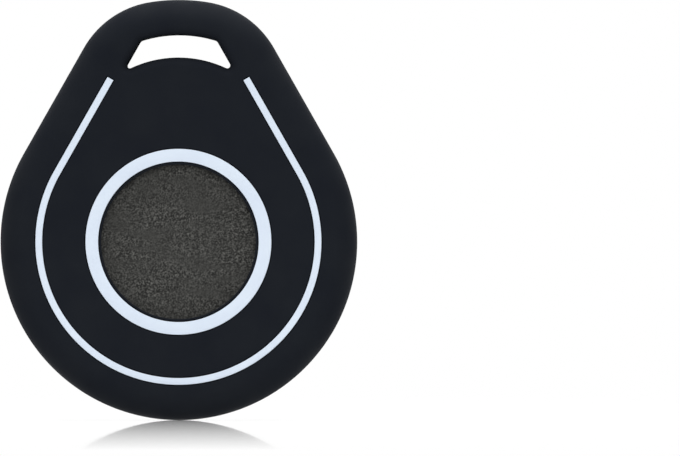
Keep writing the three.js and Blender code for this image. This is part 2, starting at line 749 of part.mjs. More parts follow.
place('cover_sleeve', coverSleeve(), blackSilicone);
place('cover_line_inlay', coverLineInlay(), whiteSilicone);
place('cover_ring_inlay', coverRingInlay(), whiteSilicone);
place('fob_front_shell', frontShell(), blackPlastic);
place('fob_rear_shell', rearShell(), blackPlastic);
place('fob_button', fobButton(), greyPlastic);
place('circuit_board', circuitBoard(), boardGreen);
place('switch_base', switchBase(), partBlack);
place('switch_frame', switchFrame(), steel);
place('switch_plunger', switchPlunger(), partBlack);
place('radio_chip', boardPart(CHIP_SIZE, CHIP_SIZE, CHIP_THICK, -1, 0), partBlack);
place('buffer_capacitor', boardPart(CAPACITOR_WIDTH, CAPACITOR_LENGTH, CAPACITOR_THICK, 1, 0), ceramic);
place('chip_antenna', boardPart(ANTENNA_LENGTH, ANTENNA_WIDTH, ANTENNA_THICK, 0, 1), ceramicWhite);
place('crystal', boardPart(CRYSTAL_LENGTH, CRYSTAL_WIDTH, CRYSTAL_THICK, 0, -1), steel);
place('coin_cell_can', coinCellCan(), steel);
place('coin_cell_gasket', coinCellGasket(), gasketNylon);
place('coin_cell_cap', coinCellCap(), steel);
place('contact_positive', contactPositive(), nickel);
place('contact_negative', contactNegative(), nickel);
place('battery_door', batteryDoor(), blackPlastic);
place('door_seal', doorSeal(), sealRubber);
screwPlaces().forEach((spot, i) => {
  place(`shell_screw_${i + 1}`, shellScrew(), steel, spot.x, spot.y);
});

export default part;
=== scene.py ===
# %% [markdown]
# # A silicone key fob cover
# The object is a soft black sleeve, moulded in silicone and pulled over a round one-button radio fob.
# A white line and a white ring, in a second silicone, lie flush in its front, and the fob's grained
# button shows through the window inside the ring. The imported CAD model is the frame: it gives every
# place and size, and each piece made here stands exactly where the CAD node that it replaces stands.

# %% Load the frame
import math

import bmesh
import bpy
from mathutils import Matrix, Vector


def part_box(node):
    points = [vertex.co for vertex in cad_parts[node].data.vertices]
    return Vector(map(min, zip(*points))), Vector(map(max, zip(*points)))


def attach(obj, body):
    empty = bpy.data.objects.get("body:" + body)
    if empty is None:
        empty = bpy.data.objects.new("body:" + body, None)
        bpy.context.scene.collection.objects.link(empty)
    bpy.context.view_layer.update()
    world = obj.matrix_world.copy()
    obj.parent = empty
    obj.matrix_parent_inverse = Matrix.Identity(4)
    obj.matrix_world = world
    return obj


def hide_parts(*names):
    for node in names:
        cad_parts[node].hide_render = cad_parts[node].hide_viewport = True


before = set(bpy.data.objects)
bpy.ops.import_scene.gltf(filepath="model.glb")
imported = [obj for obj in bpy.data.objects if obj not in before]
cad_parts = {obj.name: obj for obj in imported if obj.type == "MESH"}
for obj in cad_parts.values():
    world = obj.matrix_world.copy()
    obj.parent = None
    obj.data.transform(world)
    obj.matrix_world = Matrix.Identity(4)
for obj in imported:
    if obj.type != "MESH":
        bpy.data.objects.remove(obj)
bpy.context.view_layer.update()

# %% [markdown]
# ## Datums
# A small product is easier to think about in millimetres, counted from something that can be seen.
# Here that is the button's axis: x and z are counted from it, and depths along y are the frame's own,
# with the front face towards -y. One function turns such a point into metres in the frame, so the
# pieces need no fitting afterwards.

# %% Datums from the frame
MM = 0.001  # metres in a millimetre


def box_mm(node):
    """Lowest and highest corner of a CAD node, in millimetres."""
    low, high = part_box(node)
    return low / MM, high / MM


sleeve_low, sleeve_high = box_mm("cover_sleeve")
ring_low, ring_high = box_mm("cover_ring_inlay")
button_low, button_high = box_mm("fob_button")
axis_z = (ring_low.z + ring_high.z) / 2
front = sleeve_low.y
back = sleeve_high.y


def in_frame(x, y, z):
    """Millimetres, with z counted from the button's axis, to metres in the frame."""
    return Vector((x, y, z + axis_z)) * MM


print(f"Front face at {front:.2f} mm, back face at {back:.2f} mm, button's axis at {axis_z:.2f} mm")

# %% [markdown]
# ## Camera
# The photograph looks straight at the front from far away: both sides of the rim look alike. A long lens
# at a large distance gives that view. The ring's width in pixels against its real width gives the scale
# at the front face, and the button's axis lies left of the picture's middle, so the camera stands to the
# right of it instead of turning.

# %% Camera
PHOTO_SIZE = (680, 456)  # pixels
AXIS_PIXEL = (178.4, 241.8)  # the button's axis in the photograph
PIXELS_PER_MM = 8.5  # at the front face
CAMERA_DISTANCE = 2000.0
SENSOR_WIDTH = 36.0
VIEW_DEPTH = 10.0  # metres

camera_data = bpy.data.cameras.new("camera")
camera_data.sensor_width = SENSOR_WIDTH
camera_data.lens = SENSOR_WIDTH * CAMERA_DISTANCE * PIXELS_PER_MM / PHOTO_SIZE[0]
camera_data.clip_end = VIEW_DEPTH
camera = bpy.data.objects.new("camera", camera_data)
camera.location = in_frame(
    (PHOTO_SIZE[0] / 2 - AXIS_PIXEL[0]) / PIXELS_PER_MM,
    front - CAMERA_DISTANCE,
    (AXIS_PIXEL[1] - PHOTO_SIZE[1] / 2) / PIXELS_PER_MM,
)
camera.rotation_euler = (math.pi / 2, 0, 0)
bpy.context.scene.collection.objects.link(camera)
bpy.context.scene.camera = camera
print(f"Lens of {camera_data.lens:.0f} mm at {CAMERA_DISTANCE:.0f} mm")

# %% [markdown]
# ## Outline of the drop
# Seen from the front the sleeve is a drop: a round body, two straight sides that lean in, two shoulders
# and a nearly flat crown, all tangent to each other. It could be traced with a curve by hand, but arcs
# keep it exact at any size, and the same arcs with a smaller radius give every inset copy of it.

# %% Outline
BODY_R = 21.0
SIDE_LEAN = 29.6  # degrees
SHOULDER_R = 10.9
SHOULDER_X = 1.7
CROWN_R = 21.2
ARC_STEP = math.radians(1.5)
SIDE_STEPS = 16

lean = math.radians(SIDE_LEAN)
shoulder_z = (BODY_R - SHOULDER_R - math.cos(lean) * SHOULDER_X) / math.sin(lean)
crown_centre = shoulder_z - math.sqrt((CROWN_R - SHOULDER_R) ** 2 - SHOULDER_X**2)
crown_start = math.atan2(shoulder_z - crown_centre, SHOULDER_X)
crown_z = crown_centre + CROWN_R


def on_arc(x, z, radius, angle):
    """The point of an arc at an angle."""
    return x + radius * math.cos(angle), z + radius * math.sin(angle)


def arc(x, z, radius, start, end, step=ARC_STEP):
    """Points along an arc, without its last one."""
    count = math.ceil(abs(end - start) / step)
    return [on_arc(x, z, radius, start + (end - start) * i / count) for i in range(count)]


def straight(start, end):
    """Points along a straight side, without its last one."""
    shares = [i / SIDE_STEPS for i in range(SIDE_STEPS)]
    return [tuple(Vector(start).lerp(Vector(end), share)) for share in shares]


def outline(inset):
    """The drop moved inwards, from the left side round the body to the crown and back."""
    left = math.pi - lean
    left_crown = math.pi - crown_start
    body_r = BODY_R - inset
    shoulder_r = SHOULDER_R - inset
    shoulder_end = on_arc(-SHOULDER_X, shoulder_z, shoulder_r, left)
    return [
        *arc(0, 0, body_r, left - 2 * math.pi, lean),
        *straight(on_arc(0, 0, body_r, lean), on_arc(SHOULDER_X, shoulder_z, shoulder_r, lean)),
        *arc(SHOULDER_X, shoulder_z, shoulder_r, lean, crown_start),
        *arc(0, crown_centre, CROWN_R - inset, crown_start, left_crown),
        *arc(-SHOULDER_X, shoulder_z, shoulder_r, left_crown, left),
        *straight(shoulder_end, on_arc(0, 0, body_r, left)),
    ]


print(f"Outline of {len(outline(0))} points, crown {crown_z:.2f} mm above the button's axis")

# %% [markdown]
# ## Key-ring slot
# The slot is a bent window under the crown: an arc above, a tighter arc below, and ends that run along
# the drop's sides, with small corner arcs between them. Each corner's centre is where two offset lines
# meet. Growing all the radii by one amount widens the slot evenly, which is what a rounded lip needs.

# %% Slot outline
SLOT_BRIDGE = 4.1
SLOT_HEIGHT = 2.7
SLOT_SIDE_INSET = 5.4
SLOT_TOP_R = 14.7
SLOT_BOTTOM_R = 13.2
SLOT_TOP_CORNER = 0.6
SLOT_BOTTOM_CORNER = 0.35
CORNER_STEP = math.radians(9.0)

slot_top_centre = crown_z - SLOT_BRIDGE - SLOT_TOP_R
slot_bottom_centre = crown_z - SLOT_BRIDGE - SLOT_HEIGHT - SLOT_BOTTOM_R


def slot_corner(centre_z, distance, corner_r):
    """The centre of the corner arc between the slot's right end and its upper or lower arc."""
    side = BODY_R - SLOT_SIDE_INSET - corner_r
    along = centre_z * math.cos(lean) + math.sqrt(distance**2 - (side - centre_z * math.sin(lean)) ** 2)
    return (
        side * math.cos(lean) - along * math.sin(lean),
        side * math.sin(lean) + along * math.cos(lean),
    )


def slot_outline(growth):
    """The slot, widened all round by a growth."""
    top_x, top_z = slot_corner(slot_top_centre, SLOT_TOP_R - SLOT_TOP_CORNER, SLOT_TOP_CORNER)
    low_x, low_z = slot_corner(slot_bottom_centre, SLOT_BOTTOM_R + SLOT_BOTTOM_CORNER, SLOT_BOTTOM_CORNER)
    top_r = SLOT_TOP_CORNER + growth
    low_r = SLOT_BOTTOM_CORNER + growth
    top_angle = math.atan2(top_z - slot_top_centre, top_x)
    low_angle = math.atan2(low_z - slot_bottom_centre, low_x)
    left = math.pi - lean
    return [
        *arc(top_x, top_z, top_r, lean, top_angle, CORNER_STEP),
        *arc(0, slot_top_centre, SLOT_TOP_R + growth, top_angle, math.pi - top_angle),
        *arc(-top_x, top_z, top_r, math.pi - top_angle, left, CORNER_STEP),
        on_arc(-top_x, top_z, top_r, left),
        *arc(-low_x, low_z, low_r, left, 2 * math.pi - low_angle, CORNER_STEP),
        *arc(0, slot_bottom_centre, SLOT_BOTTOM_R - growth, math.pi - low_angle, low_angle),
        *arc(low_x, low_z, low_r, low_angle - math.pi, lean, CORNER_STEP),
        on_arc(low_x, low_z, low_r, lean),
    ]


slot_width = 2 * max(x for x, z in slot_outline(0))
print(f"Slot {slot_width:.2f} mm wide and {SLOT_HEIGHT} mm high on the middle line")

# %% [markdown]
# ## White line
# The line follows the drop's sides and body at an even distance from the edge: one arc with two straight
# legs, cut off square below the slot. The same path, moved sideways by half the line's width, gives the
# two walls of the groove that the line lies in.

# %% Path of the white line
LINE_INSET = 4.57  # edge of the drop to the middle of the line
LINE_WIDTH = 0.8
LINE_DROP = 9.3  # crown to the line's ends


def line_path(offset=0.0, overrun=0.0):
    """The line's middle moved outwards by an offset, from its left end to its right end."""
    middle_r = BODY_R - LINE_INSET
    end_z = crown_z - LINE_DROP
    end_x = (middle_r - end_z * math.sin(lean)) / math.cos(lean)
    right_end = (
        end_x + offset * math.cos(lean) - overrun * math.sin(lean),
        end_z + offset * math.sin(lean) + overrun * math.cos(lean),
    )
    left_end = (-right_end[0], right_end[1])
    start = math.pi - lean - 2 * math.pi
    bend = arc(0, 0, middle_r + offset, start, lean)
    bend_end = on_arc(0, 0, middle_r + offset, lean)
    return [*straight(left_end, bend[0]), *bend, *straight(bend_end, right_end), right_end]


line_points = [Vector(p) for p in line_path()]
line_length = sum((b - a).length for a, b in zip(line_points, line_points[1:]))
print(f"White line {line_length:.1f} mm long, {LINE_WIDTH} mm wide")

# %% [markdown]
# ## From outlines to skins
# Most of this object is a stack of outlines at different depths. A skin joins each outline to the next
# with a band of four-sided faces, and a flat face with holes in it is filled with triangles between
# its loops. Afterwards the normals are weighted by area, so a flat face looks flat up to its edge and
# only the rounding next to it bends the light.

# %% Helpers for meshes
CREASE = math.radians(35.0)  # a sharper bend than this stays an edge


def join(bm, loop, following):
    """A band of faces between two closed loops."""
    for i in range(len(loop)):
        bm.faces.new((loop[i - 1], loop[i], following[i], following[i - 1]))


def skin(bm, layers):
    """Joins outlines, each with its depth, into a band, and returns its first and last loop."""
    loops = [[bm.verts.new(in_frame(x, depth, z)) for x, z in points] for points, depth in layers]
    for loop, following in zip(loops, loops[1:]):
        join(bm, loop, following)
    return loops[0], loops[-1]


def fill(bm, *loops):
    """Closes the flat face that lies between an outer loop and the loops of its holes."""
    edges = [bm.edges.get((loop[i - 1], loop[i])) for loop in loops for i in range(len(loop))]
    bmesh.ops.triangle_fill(bm, edges=edges, use_beauty=True)


def quarter_turn(steps):
    """How far a quarter round has come out sideways and sunk in depth, as shares, step by step."""
    turns = [math.pi / 2 * i / steps for i in range(steps + 1)]
    return [(1 - math.sin(t), 1 - math.cos(t)) for t in turns]


def make_piece(bm, name, material):
    """An object from a finished bmesh."""
    bmesh.ops.recalc_face_normals(bm, faces=bm.faces)
    mesh = bpy.data.meshes.new(name)
    bm.to_mesh(mesh)
    bm.free()
    mesh.materials.append(material)
    piece = bpy.data.objects.new(name, mesh)
    bpy.context.scene.collection.objects.link(piece)
    return piece


def bake_modifiers(piece):
    """Turns what the modifiers make into the piece's own plain mesh."""
    graph = bpy.context.evaluated_depsgraph_get()
    shape = piece.evaluated_get(graph)
    mesh = bpy.data.meshes.new_from_object(shape, preserve_all_data_layers=True, depsgraph=graph)
    piece.modifiers.clear()
    piece.data = mesh


def shade(piece):
    """Smooth shading between the creases, with normals weighted by area."""
    piece.data.shade_smooth()
    piece.data.set_sharp_from_angle(angle=CREASE)
    weights = piece.modifiers.new("weights", "WEIGHTED_NORMAL")
    weights.keep_sharp = True
    bake_modifiers(piece)


def triangles(piece):
    """How many triangles a piece has."""
    return sum(len(face.vertices) - 2 for face in piece.data.polygons)


print(f"A quarter round in 2 steps: {[(round(a, 2), round(b, 2)) for a, b in quarter_turn(2)]}")

# %% [markdown]
# ## Nodes and colours
# Materials, swept pieces and the studio are all node trees. One helper adds a node, sets it up and links
# it, so a tree reads from top to bottom like a recipe. Colours are picked in sRGB, as on a screen,
# while Blender calculates with linear light, so one function converts them.

# %% Helpers for node trees
def linear(colour):
    """An sRGB colour such as "#1c1f24" as linear red, green, blue and alpha."""
    values = [int(colour[i : i + 2], 16) / 255 for i in (1, 3, 5)]
    return tuple(v / 12.92 if v <= 0.04045 else ((v + 0.055) / 1.055) ** 2.4 for v in values) + (1.0,)


def add(tree, kind, inputs=None, **settings):
    """Adds a node with its settings; an input is a value or the socket that feeds it."""
    node = tree.nodes.new(kind)
    for name, value in settings.items():
        setattr(node, name, value)
    for name, value in (inputs or {}).items():
        if isinstance(value, bpy.types.NodeSocket):
            tree.links.new(value, node.inputs[name])
        else:
            node.inputs[name].default_value = value
    return node


def per_mm(size):
    """The scale of a texture whose features are this many millimetres wide."""
    return 1 / (size * MM)


print("Mid grey in linear light:", round(linear("#808080")[0], 3))

# %% [markdown]
# ## How a finish is built
# Almost every surface here varies in two ways. Its colour and gloss drift slowly from place to place, and
# its skin is rough at a much smaller size. So each material makes a share that runs from 0 to 1, a bump
# for the skin, and ends in the same way: colour and roughness run between two values with the share.
# Patterns read Object coordinates, which are the frame's own metres, so their sizes are real ones.

# %% Helpers for finishes
MIX_FROM, MIX_TO, MIXED = 6, 7, 2  # the colour sockets of a Mix node, which has a set for each kind of value
CLOUD_RANGE = (0.3, 0.7)  # a noise rarely leaves this range


def new_finish(name):
    """A new material with an empty tree, and the Object coordinates in it."""
    material = bpy.data.materials.new(name)
    material.use_nodes = True
    tree = material.node_tree
    tree.nodes.clear()
    return material, tree, add(tree, "ShaderNodeTexCoord").outputs["Object"]


def clouds(tree, where, size):
    """A share that drifts between 0 and 1 over a size in millimetres."""
    noise = add(tree, "ShaderNodeTexNoise", {"Vector": where, "Scale": per_mm(size), "Detail": 3.0})
    share = add(tree, "ShaderNodeMapRange", {
        "Value": noise.outputs["Fac"],
        "From Min": CLOUD_RANGE[0],
        "From Max": CLOUD_RANGE[1],
    })
    return share.outputs["Result"]


def end_finish(tree, share, colours, roughness, normal, more):
    """Colour and roughness run between two values with the share; more holds the other sockets."""
    first, second = colours
    tone = add(tree, "ShaderNodeMix", {0: share, MIX_FROM: first, MIX_TO: second}, data_type="RGBA")
    gloss = add(tree, "ShaderNodeMapRange", {"Value": share, "To Min": roughness[0], "To Max": roughness[1]})
    surface = add(tree, "ShaderNodeBsdfPrincipled", {
        "Base Color": tone.outputs[MIXED],
        "Roughness": gloss.outputs["Result"],
        "Normal": normal,
        **more,
    })
    add(tree, "ShaderNodeOutputMaterial", {"Surface": surface.outputs["BSDF"]})


print("Noise between", CLOUD_RANGE, "is spread from 0 to 1")

# %% [markdown]
# ## Black silicone
# The sleeve is liquid silicone rubber, coloured with carbon black and cured in a steel mould whose walls
# were bead blasted. The blasting leaves a skin of fine dimples, so the rubber is matte: it has no sharp
# reflections, only a thin lighter edge where light grazes it. Three noises make that here: the dimples,
# a slow waviness of the soft wall, and patches where handling has polished it a little.

# %% Black silicone
DIMPLE = 0.22  # real blasting is about 0.05 mm; drawn coarser, so that it shows in the render
DIMPLE_DEPTH = 0.02
DIMPLE_STRENGTH = 0.35
WAVINESS = 7.0
WAVE_DEPTH = 0.12
WAVE_STRENGTH = 0.4
HANDLED_PATCH = 5.0
SILICONE_IOR = 1.41
BLACK_SHINE = 0.045  # far less than on a smooth skin, because the dimples scatter the light
BLACK_ROUGHNESS = (0.74, 0.64)  # untouched and handled


def black_silicone():
    """Matte black rubber with dimples, slow waves and patches that handling has polished."""
    material, tree, where = new_finish("moulded_black_silicone")
    waves = add(tree, "ShaderNodeTexNoise", {"Vector": where, "Scale": per_mm(WAVINESS), "Detail": 1.0})
    dimples = add(tree, "ShaderNodeTexNoise", {"Vector": where, "Scale": per_mm(DIMPLE), "Detail": 2.0})
    wavy = add(tree, "ShaderNodeBump", {
        "Height": waves.outputs["Fac"],
        "Strength": WAVE_STRENGTH,
        "Distance": WAVE_DEPTH * MM,
    })
    dimpled = add(tree, "ShaderNodeBump", {
        "Height": dimples.outputs["Fac"],
        "Strength": DIMPLE_STRENGTH,
        "Distance": DIMPLE_DEPTH * MM,
        "Normal": wavy.outputs["Normal"],
    })
    handled = clouds(tree, where, HANDLED_PATCH)
    colours = linear("#1a1d23"), linear("#1d2025")
    more = {"IOR": SILICONE_IOR, "Specular IOR Level": BLACK_SHINE}
    end_finish(tree, handled, colours, BLACK_ROUGHNESS, dimpled.outputs["Normal"], more)
    return material


silicone = black_silicone()
print("Material:", silicone.name)

# %% [markdown]
# ## Sleeve
# The sleeve is one wall all round the fob, open at the window and at the slot on both sides. It could be a
# thick sheet made with Solidify, but the wall has real edges: a wide rounding at the rim, a soft lip at
# the slot, a crisp one at the window and two grooves for the white pieces. So the outer and inner skins
# are built as stacks of outlines and sewn together through the openings, as one closed surface.
# A fine bead round the rim marks where the two halves of the mould met.

# %% Layers of the sleeve
WALL = 1.3
RIM_REACH = 3.0
RIM_DEPTH = 4.0
RIM_STEPS = 14
BEAD_WIDTH = 0.22
BEAD_HEIGHT = 0.05
SLOT_LIP_REACH = 1.0
SLOT_LIP_DEPTH = 1.25
LIP_STEPS = 8


def rim_halves(inset):
    """The layers of the rim from the front face to the middle, and from the middle to the back face."""
    rounding = [
        (outline(inset + (RIM_REACH - inset) * out), (RIM_DEPTH - inset) * rise)
        for out, rise in quarter_turn(RIM_STEPS)
    ]
    front_half = [(points, front + inset + rise) for points, rise in rounding]
    back_half = [(points, back - inset - rise) for points, rise in reversed(rounding)]
    return front_half, back_half


def parting_bead():
    """The raised line round the middle of the rim."""
    middle = (front + back) / 2
    steps = [(0, -1 / 2), (BEAD_HEIGHT, -1 / 6), (BEAD_HEIGHT, 1 / 6), (0, 1 / 2)]
    return [(outline(-height), middle + share * BEAD_WIDTH) for height, share in steps]


def lip(shape, reach, depth, face, inwards=1):
    """The layers of an opening's rounded edge; shape gives the opening's outline for a growth."""
    return [(shape(reach * out), face + inwards * depth * rise) for out, rise in quarter_turn(LIP_STEPS)]


def slot_layers(face, inwards):
    """The slot's lip and wall, from the outer face of one wall of the sleeve to its inner face."""
    rounding = lip(slot_outline, SLOT_LIP_REACH, SLOT_LIP_DEPTH, face, inwards)
    return [*rounding, (slot_outline(0), face + inwards * WALL)]


print(f"Wall {WALL} mm, rim rounding {RIM_REACH} by {RIM_DEPTH} mm")
print(f"Slot lip {SLOT_LIP_REACH} by {SLOT_LIP_DEPTH} mm, parting bead {BEAD_HEIGHT} mm high")

# %% Openings of the sleeve
WINDOW_R = 9.1
WINDOW_LIP = 0.15
RING_WIDTH = 1.5
GROOVE_GAP = 0.12  # groove wall to the white piece; wider than the real 0.05 mm, so that it shows
GROOVE_LIP = 0.04
ROUND_STEP = math.radians(1.5)

inlay_depth = ring_high.y - ring_low.y
ring_outer = (ring_high.x - ring_low.x) / 2
ring_inner = ring_outer - RING_WIDTH


def circle(radius):
    """A full circle about the button's axis."""
    return arc(0, 0, radius, 0, 2 * math.pi, ROUND_STEP)


def window(growth):
    """The window, widened by a growth."""
    return circle(WINDOW_R + growth)


def ring_groove_inside(growth):
    """The inner wall of the ring's groove, moved inwards by a growth."""
    return circle(ring_inner - GROOVE_GAP - growth)


def ring_groove_outside(growth):
    """The outer wall of the ring's groove, moved outwards by a growth."""
    return circle(ring_outer + GROOVE_GAP + growth)


def line_groove(growth):
    """The wall of the line's groove, widened all round by a growth."""
    gap = GROOVE_GAP + growth
    half = LINE_WIDTH / 2 + gap
    return line_path(half, gap) + line_path(-half, gap)[::-1]


print(f"Ring {2 * ring_outer:.2f} mm across, grooves {inlay_depth + GROOVE_GAP:.2f} mm deep")

# %% Sleeve
def make_sleeve():
    """The sleeve's bands and flat faces, sewn together to one closed skin."""
    bm = bmesh.new()
    groove_floor = front + inlay_depth + GROOVE_GAP
    front_half, back_half = rim_halves(0)
    front_edge, back_edge = skin(bm, [*front_half, *parting_bead(), *back_half])
    front_half, back_half = rim_halves(WALL)
    inner_front, inner_back = skin(bm, [*front_half, *back_half])
    window_layers = [*lip(window, WINDOW_LIP, WINDOW_LIP, front), (window(0), front + WALL)]
    window_edge, window_foot = skin(bm, window_layers)
    slot_edge, slot_foot = skin(bm, slot_layers(front, 1))
    back_slot_edge, back_slot_foot = skin(bm, slot_layers(back, -1))
    ring_inside_edge, ring_outside_edge = skin(bm, [
        *lip(ring_groove_inside, GROOVE_LIP, GROOVE_LIP, front),
        (ring_groove_inside(0), groove_floor),
        (ring_groove_outside(0), groove_floor),
        *reversed(lip(ring_groove_outside, GROOVE_LIP, GROOVE_LIP, front)),
    ])
    line_layers = [*lip(line_groove, GROOVE_LIP, GROOVE_LIP, front), (line_groove(0), groove_floor)]
    line_edge, line_foot = skin(bm, line_layers)

    fill(bm, front_edge, slot_edge, line_edge, ring_outside_edge)
    fill(bm, ring_inside_edge, window_edge)
    fill(bm, line_foot)
    fill(bm, back_edge, back_slot_edge)
    fill(bm, inner_front, window_foot, slot_foot)
    fill(bm, inner_back, back_slot_foot)
    open_edges = sum(not edge.is_manifold for edge in bm.edges)
    piece = make_piece(bm, "silicone_sleeve", silicone)
    shade(piece)
    print(f"Sleeve of {triangles(piece)} triangles, {open_edges} open edges")
    return piece


sleeve = make_sleeve()

# %% [markdown]
# ## White silicone
# The line and the ring are the same rubber filled with white pigment, with a cool cast from the studio.
# They were moulded first and the black was shot round them, so their faces are flush and equally matte.
# The pigment is never perfectly even, so the colour drifts slightly along the line.

# %% White silicone
PIGMENT_CLOUD = 3.0
WHITE_DIMPLE = 0.2  # drawn coarser than the real skin, as on the black rubber
WHITE_DIMPLE_DEPTH = 0.015
WHITE_DIMPLE_STRENGTH = 0.3
WHITE_SHINE = 0.1
WHITE_ROUGHNESS = (0.6, 0.7)


def white_silicone():
    """Matte white rubber whose pigment is a little uneven."""
    material, tree, where = new_finish("moulded_white_silicone")
    dimples = add(tree, "ShaderNodeTexNoise", {"Vector": where, "Scale": per_mm(WHITE_DIMPLE), "Detail": 2.0})
    dimpled = add(tree, "ShaderNodeBump", {
        "Height": dimples.outputs["Fac"],
        "Strength": WHITE_DIMPLE_STRENGTH,
        "Distance": WHITE_DIMPLE_DEPTH * MM,
    })
    colours = linear("#d9e4f3"), linear("#dee9f6")
    more = {"IOR": SILICONE_IOR, "Specular IOR Level": WHITE_SHINE}
    pigment = clouds(tree, where, PIGMENT_CLOUD)
    end_finish(tree, pigment, colours, WHITE_ROUGHNESS, dimpled.outputs["Normal"], more)
    return material


white = white_silicone()
print("Material:", white.name)

# %% [markdown]
# ## Line and ring
# Both white pieces are one small section carried along a path, so one Geometry Nodes tree makes them: the
# path's edges become a curve, a rectangle with rounded corners is swept along it, and the material is set.
# Pointing the curve's normals into the wall keeps the section upright all the way round.

# %% Sweep tree
EDGE_ARC_POINTS = 4


def new_tree(name, kinds, result):
    """A Geometry Nodes tree with named inputs, their identifiers, and one geometry that comes out."""
    tree = bpy.data.node_groups.new(name, "GeometryNodeTree")
    sockets = {
        label: tree.interface.new_socket(label, in_out="INPUT", socket_type=kind).identifier
        for label, kind in kinds.items()
    }
    tree.interface.new_socket(result, in_out="OUTPUT", socket_type="NodeSocketGeometry")
    return tree, sockets


def sweep_tree():
    """A tree that sweeps a rounded rectangle along a path of edges."""
    tree, sockets = new_tree("section_sweep", {
        "Path": "NodeSocketGeometry",
        "Width": "NodeSocketFloat",
        "Depth": "NodeSocketFloat",
        "Edge radius": "NodeSocketFloat",
        "Material": "NodeSocketMaterial",
    }, "Swept")
    given = add(tree, "NodeGroupInput").outputs
    path = add(tree, "GeometryNodeMeshToCurve", {"Mesh": given["Path"]})
    upright = add(tree, "GeometryNodeSetCurveNormal", {
        "Curve": path.outputs["Curve"],
        "Normal": (0.0, 1.0, 0.0),
    }, mode="FREE")
    section = add(tree, "GeometryNodeCurvePrimitiveQuadrilateral", {
        "Width": given["Depth"],
        "Height": given["Width"],
    }, mode="RECTANGLE")
    rounded = add(tree, "GeometryNodeFilletCurve", {
        "Curve": section.outputs["Curve"],
        "Radius": given["Edge radius"],
        "Count": EDGE_ARC_POINTS,
    }, mode="POLY")
    swept = add(tree, "GeometryNodeCurveToMesh", {
        "Curve": upright.outputs["Curve"],
        "Profile Curve": rounded.outputs["Curve"],
        "Fill Caps": True,
    })
    real = add(tree, "GeometryNodeRealizeInstances", {"Geometry": swept.outputs["Mesh"]})
    finished = add(tree, "GeometryNodeSetMaterial", {
        "Geometry": real.outputs["Geometry"],
        "Material": given["Material"],
    })
    add(tree, "NodeGroupOutput", {"Swept": finished.outputs["Geometry"]})
    return tree, sockets


section_sweep, sweep_sockets = sweep_tree()
print("Sweep inputs:", list(sweep_sockets))

# %% Line and ring
INLAY_EDGE = 0.07


def swept(name, points, closed, middle, width, depth, edge, material):
    """A piece swept along points; middle is the depth of its section's middle in the frame."""
    count = len(points)
    edges = [(i, (i + 1) % count) for i in range(count if closed else count - 1)]
    path = bpy.data.meshes.new(name)
    path.from_pydata([in_frame(x, middle, z) for x, z in points], edges, [])
    piece = bpy.data.objects.new(name, path)
    bpy.context.scene.collection.objects.link(piece)
    sweep = piece.modifiers.new("sweep", "NODES")
    sweep.node_group = section_sweep
    sweep[sweep_sockets["Width"]] = width * MM
    sweep[sweep_sockets["Depth"]] = depth * MM
    sweep[sweep_sockets["Edge radius"]] = edge * MM
    sweep[sweep_sockets["Material"]] = material
    bake_modifiers(piece)
    shade(piece)
    low, high = (Vector(corner) / MM for corner in (piece.bound_box[0], piece.bound_box[6]))
    print(f"{name}: {triangles(piece)} triangles, face at {low.y:.3f} mm, {high.x - low.x:.2f} mm wide")
    return piece


flush = {"middle": front + inlay_depth / 2, "depth": inlay_depth, "edge": INLAY_EDGE, "material": white}
line_inlay = swept("white_line", line_path(), closed=False, width=LINE_WIDTH, **flush)
ring_path = circle((ring_inner + ring_outer) / 2)
ring_inlay = swept("white_ring", ring_path, closed=True, width=RING_WIDTH, **flush)

# %% [markdown]
# ## Grained ABS
# The button is dark grey ABS, moulded in a cavity that was eroded by sparks. The sparks leave a coarse,
# irregular grain that catches the light as fine salt and pepper. The grain's height is real geometry on
# the button's face, and the mesh carries it as an attribute, so the colour paints a highlight on the
# peaks and shade in the pits.

# %% Grained ABS
FINE_GRIT = 0.12
GRIT_DEPTH = 0.02
GRIT_STRENGTH = 0.5
ABS_IOR = 1.53
BUTTON_SHINE = 0.1
BUTTON_ROUGHNESS = (0.85, 0.65)  # pits and peaks
GRAIN_ATTRIBUTE = "grain"
# The grain's colour is painted light: a painted highlight on the peaks and painted shade in the pits, set by
# height.
HIGHLIGHT_RANGE = (-0.35, 0.35)  # heights over which the grain turns from its dark pits to its light peaks
HIGHLIGHT_POWER = 1.8  # above 1, light peaks are rarer than dark ground


def grained_abs():
    """Grey ABS with shade painted into the grain's pits and a highlight painted on its peaks."""
    material, tree, where = new_finish("spark_eroded_grey_abs")
    height = add(tree, "ShaderNodeAttribute", attribute_name=GRAIN_ATTRIBUTE)
    peaks = add(tree, "ShaderNodeMapRange", {
        "Value": height.outputs["Fac"],
        "From Min": HIGHLIGHT_RANGE[0],
        "From Max": HIGHLIGHT_RANGE[1],
    })
    painted_highlight = add(tree, "ShaderNodeMath", {0: peaks.outputs["Result"], 1: HIGHLIGHT_POWER}, operation="POWER")
    grit = add(tree, "ShaderNodeTexNoise", {"Vector": where, "Scale": per_mm(FINE_GRIT), "Detail": 3.0})
    gritty = add(tree, "ShaderNodeBump", {
        "Height": grit.outputs["Fac"],
        "Strength": GRIT_STRENGTH,
        "Distance": GRIT_DEPTH * MM,
    })
    # From the painted shade of the pits to the painted highlight of the peaks.
    colours = linear("#252524"), linear("#666663")
    more = {"IOR": ABS_IOR, "Specular IOR Level": BUTTON_SHINE}
    end_finish(tree, painted_highlight.outputs["Value"], colours, BUTTON_ROUGHNESS, gritty.outputs["Normal"], more)
    return material


button_abs = grained_abs()
print("Material:", button_abs.name)

# %% [markdown]
# ## Button
# The button is a disc with a flange that the front shell holds back, and a post behind it that meets the
# switch. A fan of triangles would crowd its middle, so its face is a square grid moved onto a disc, which
# spaces the points evenly. A Geometry Nodes tree then lifts the points by a noise of small hills, flatter
# in streaks where the thumb strokes across, and keeps their height as the grain attribute. The rest of
# the button is a stack of rings that starts from the grid's border.

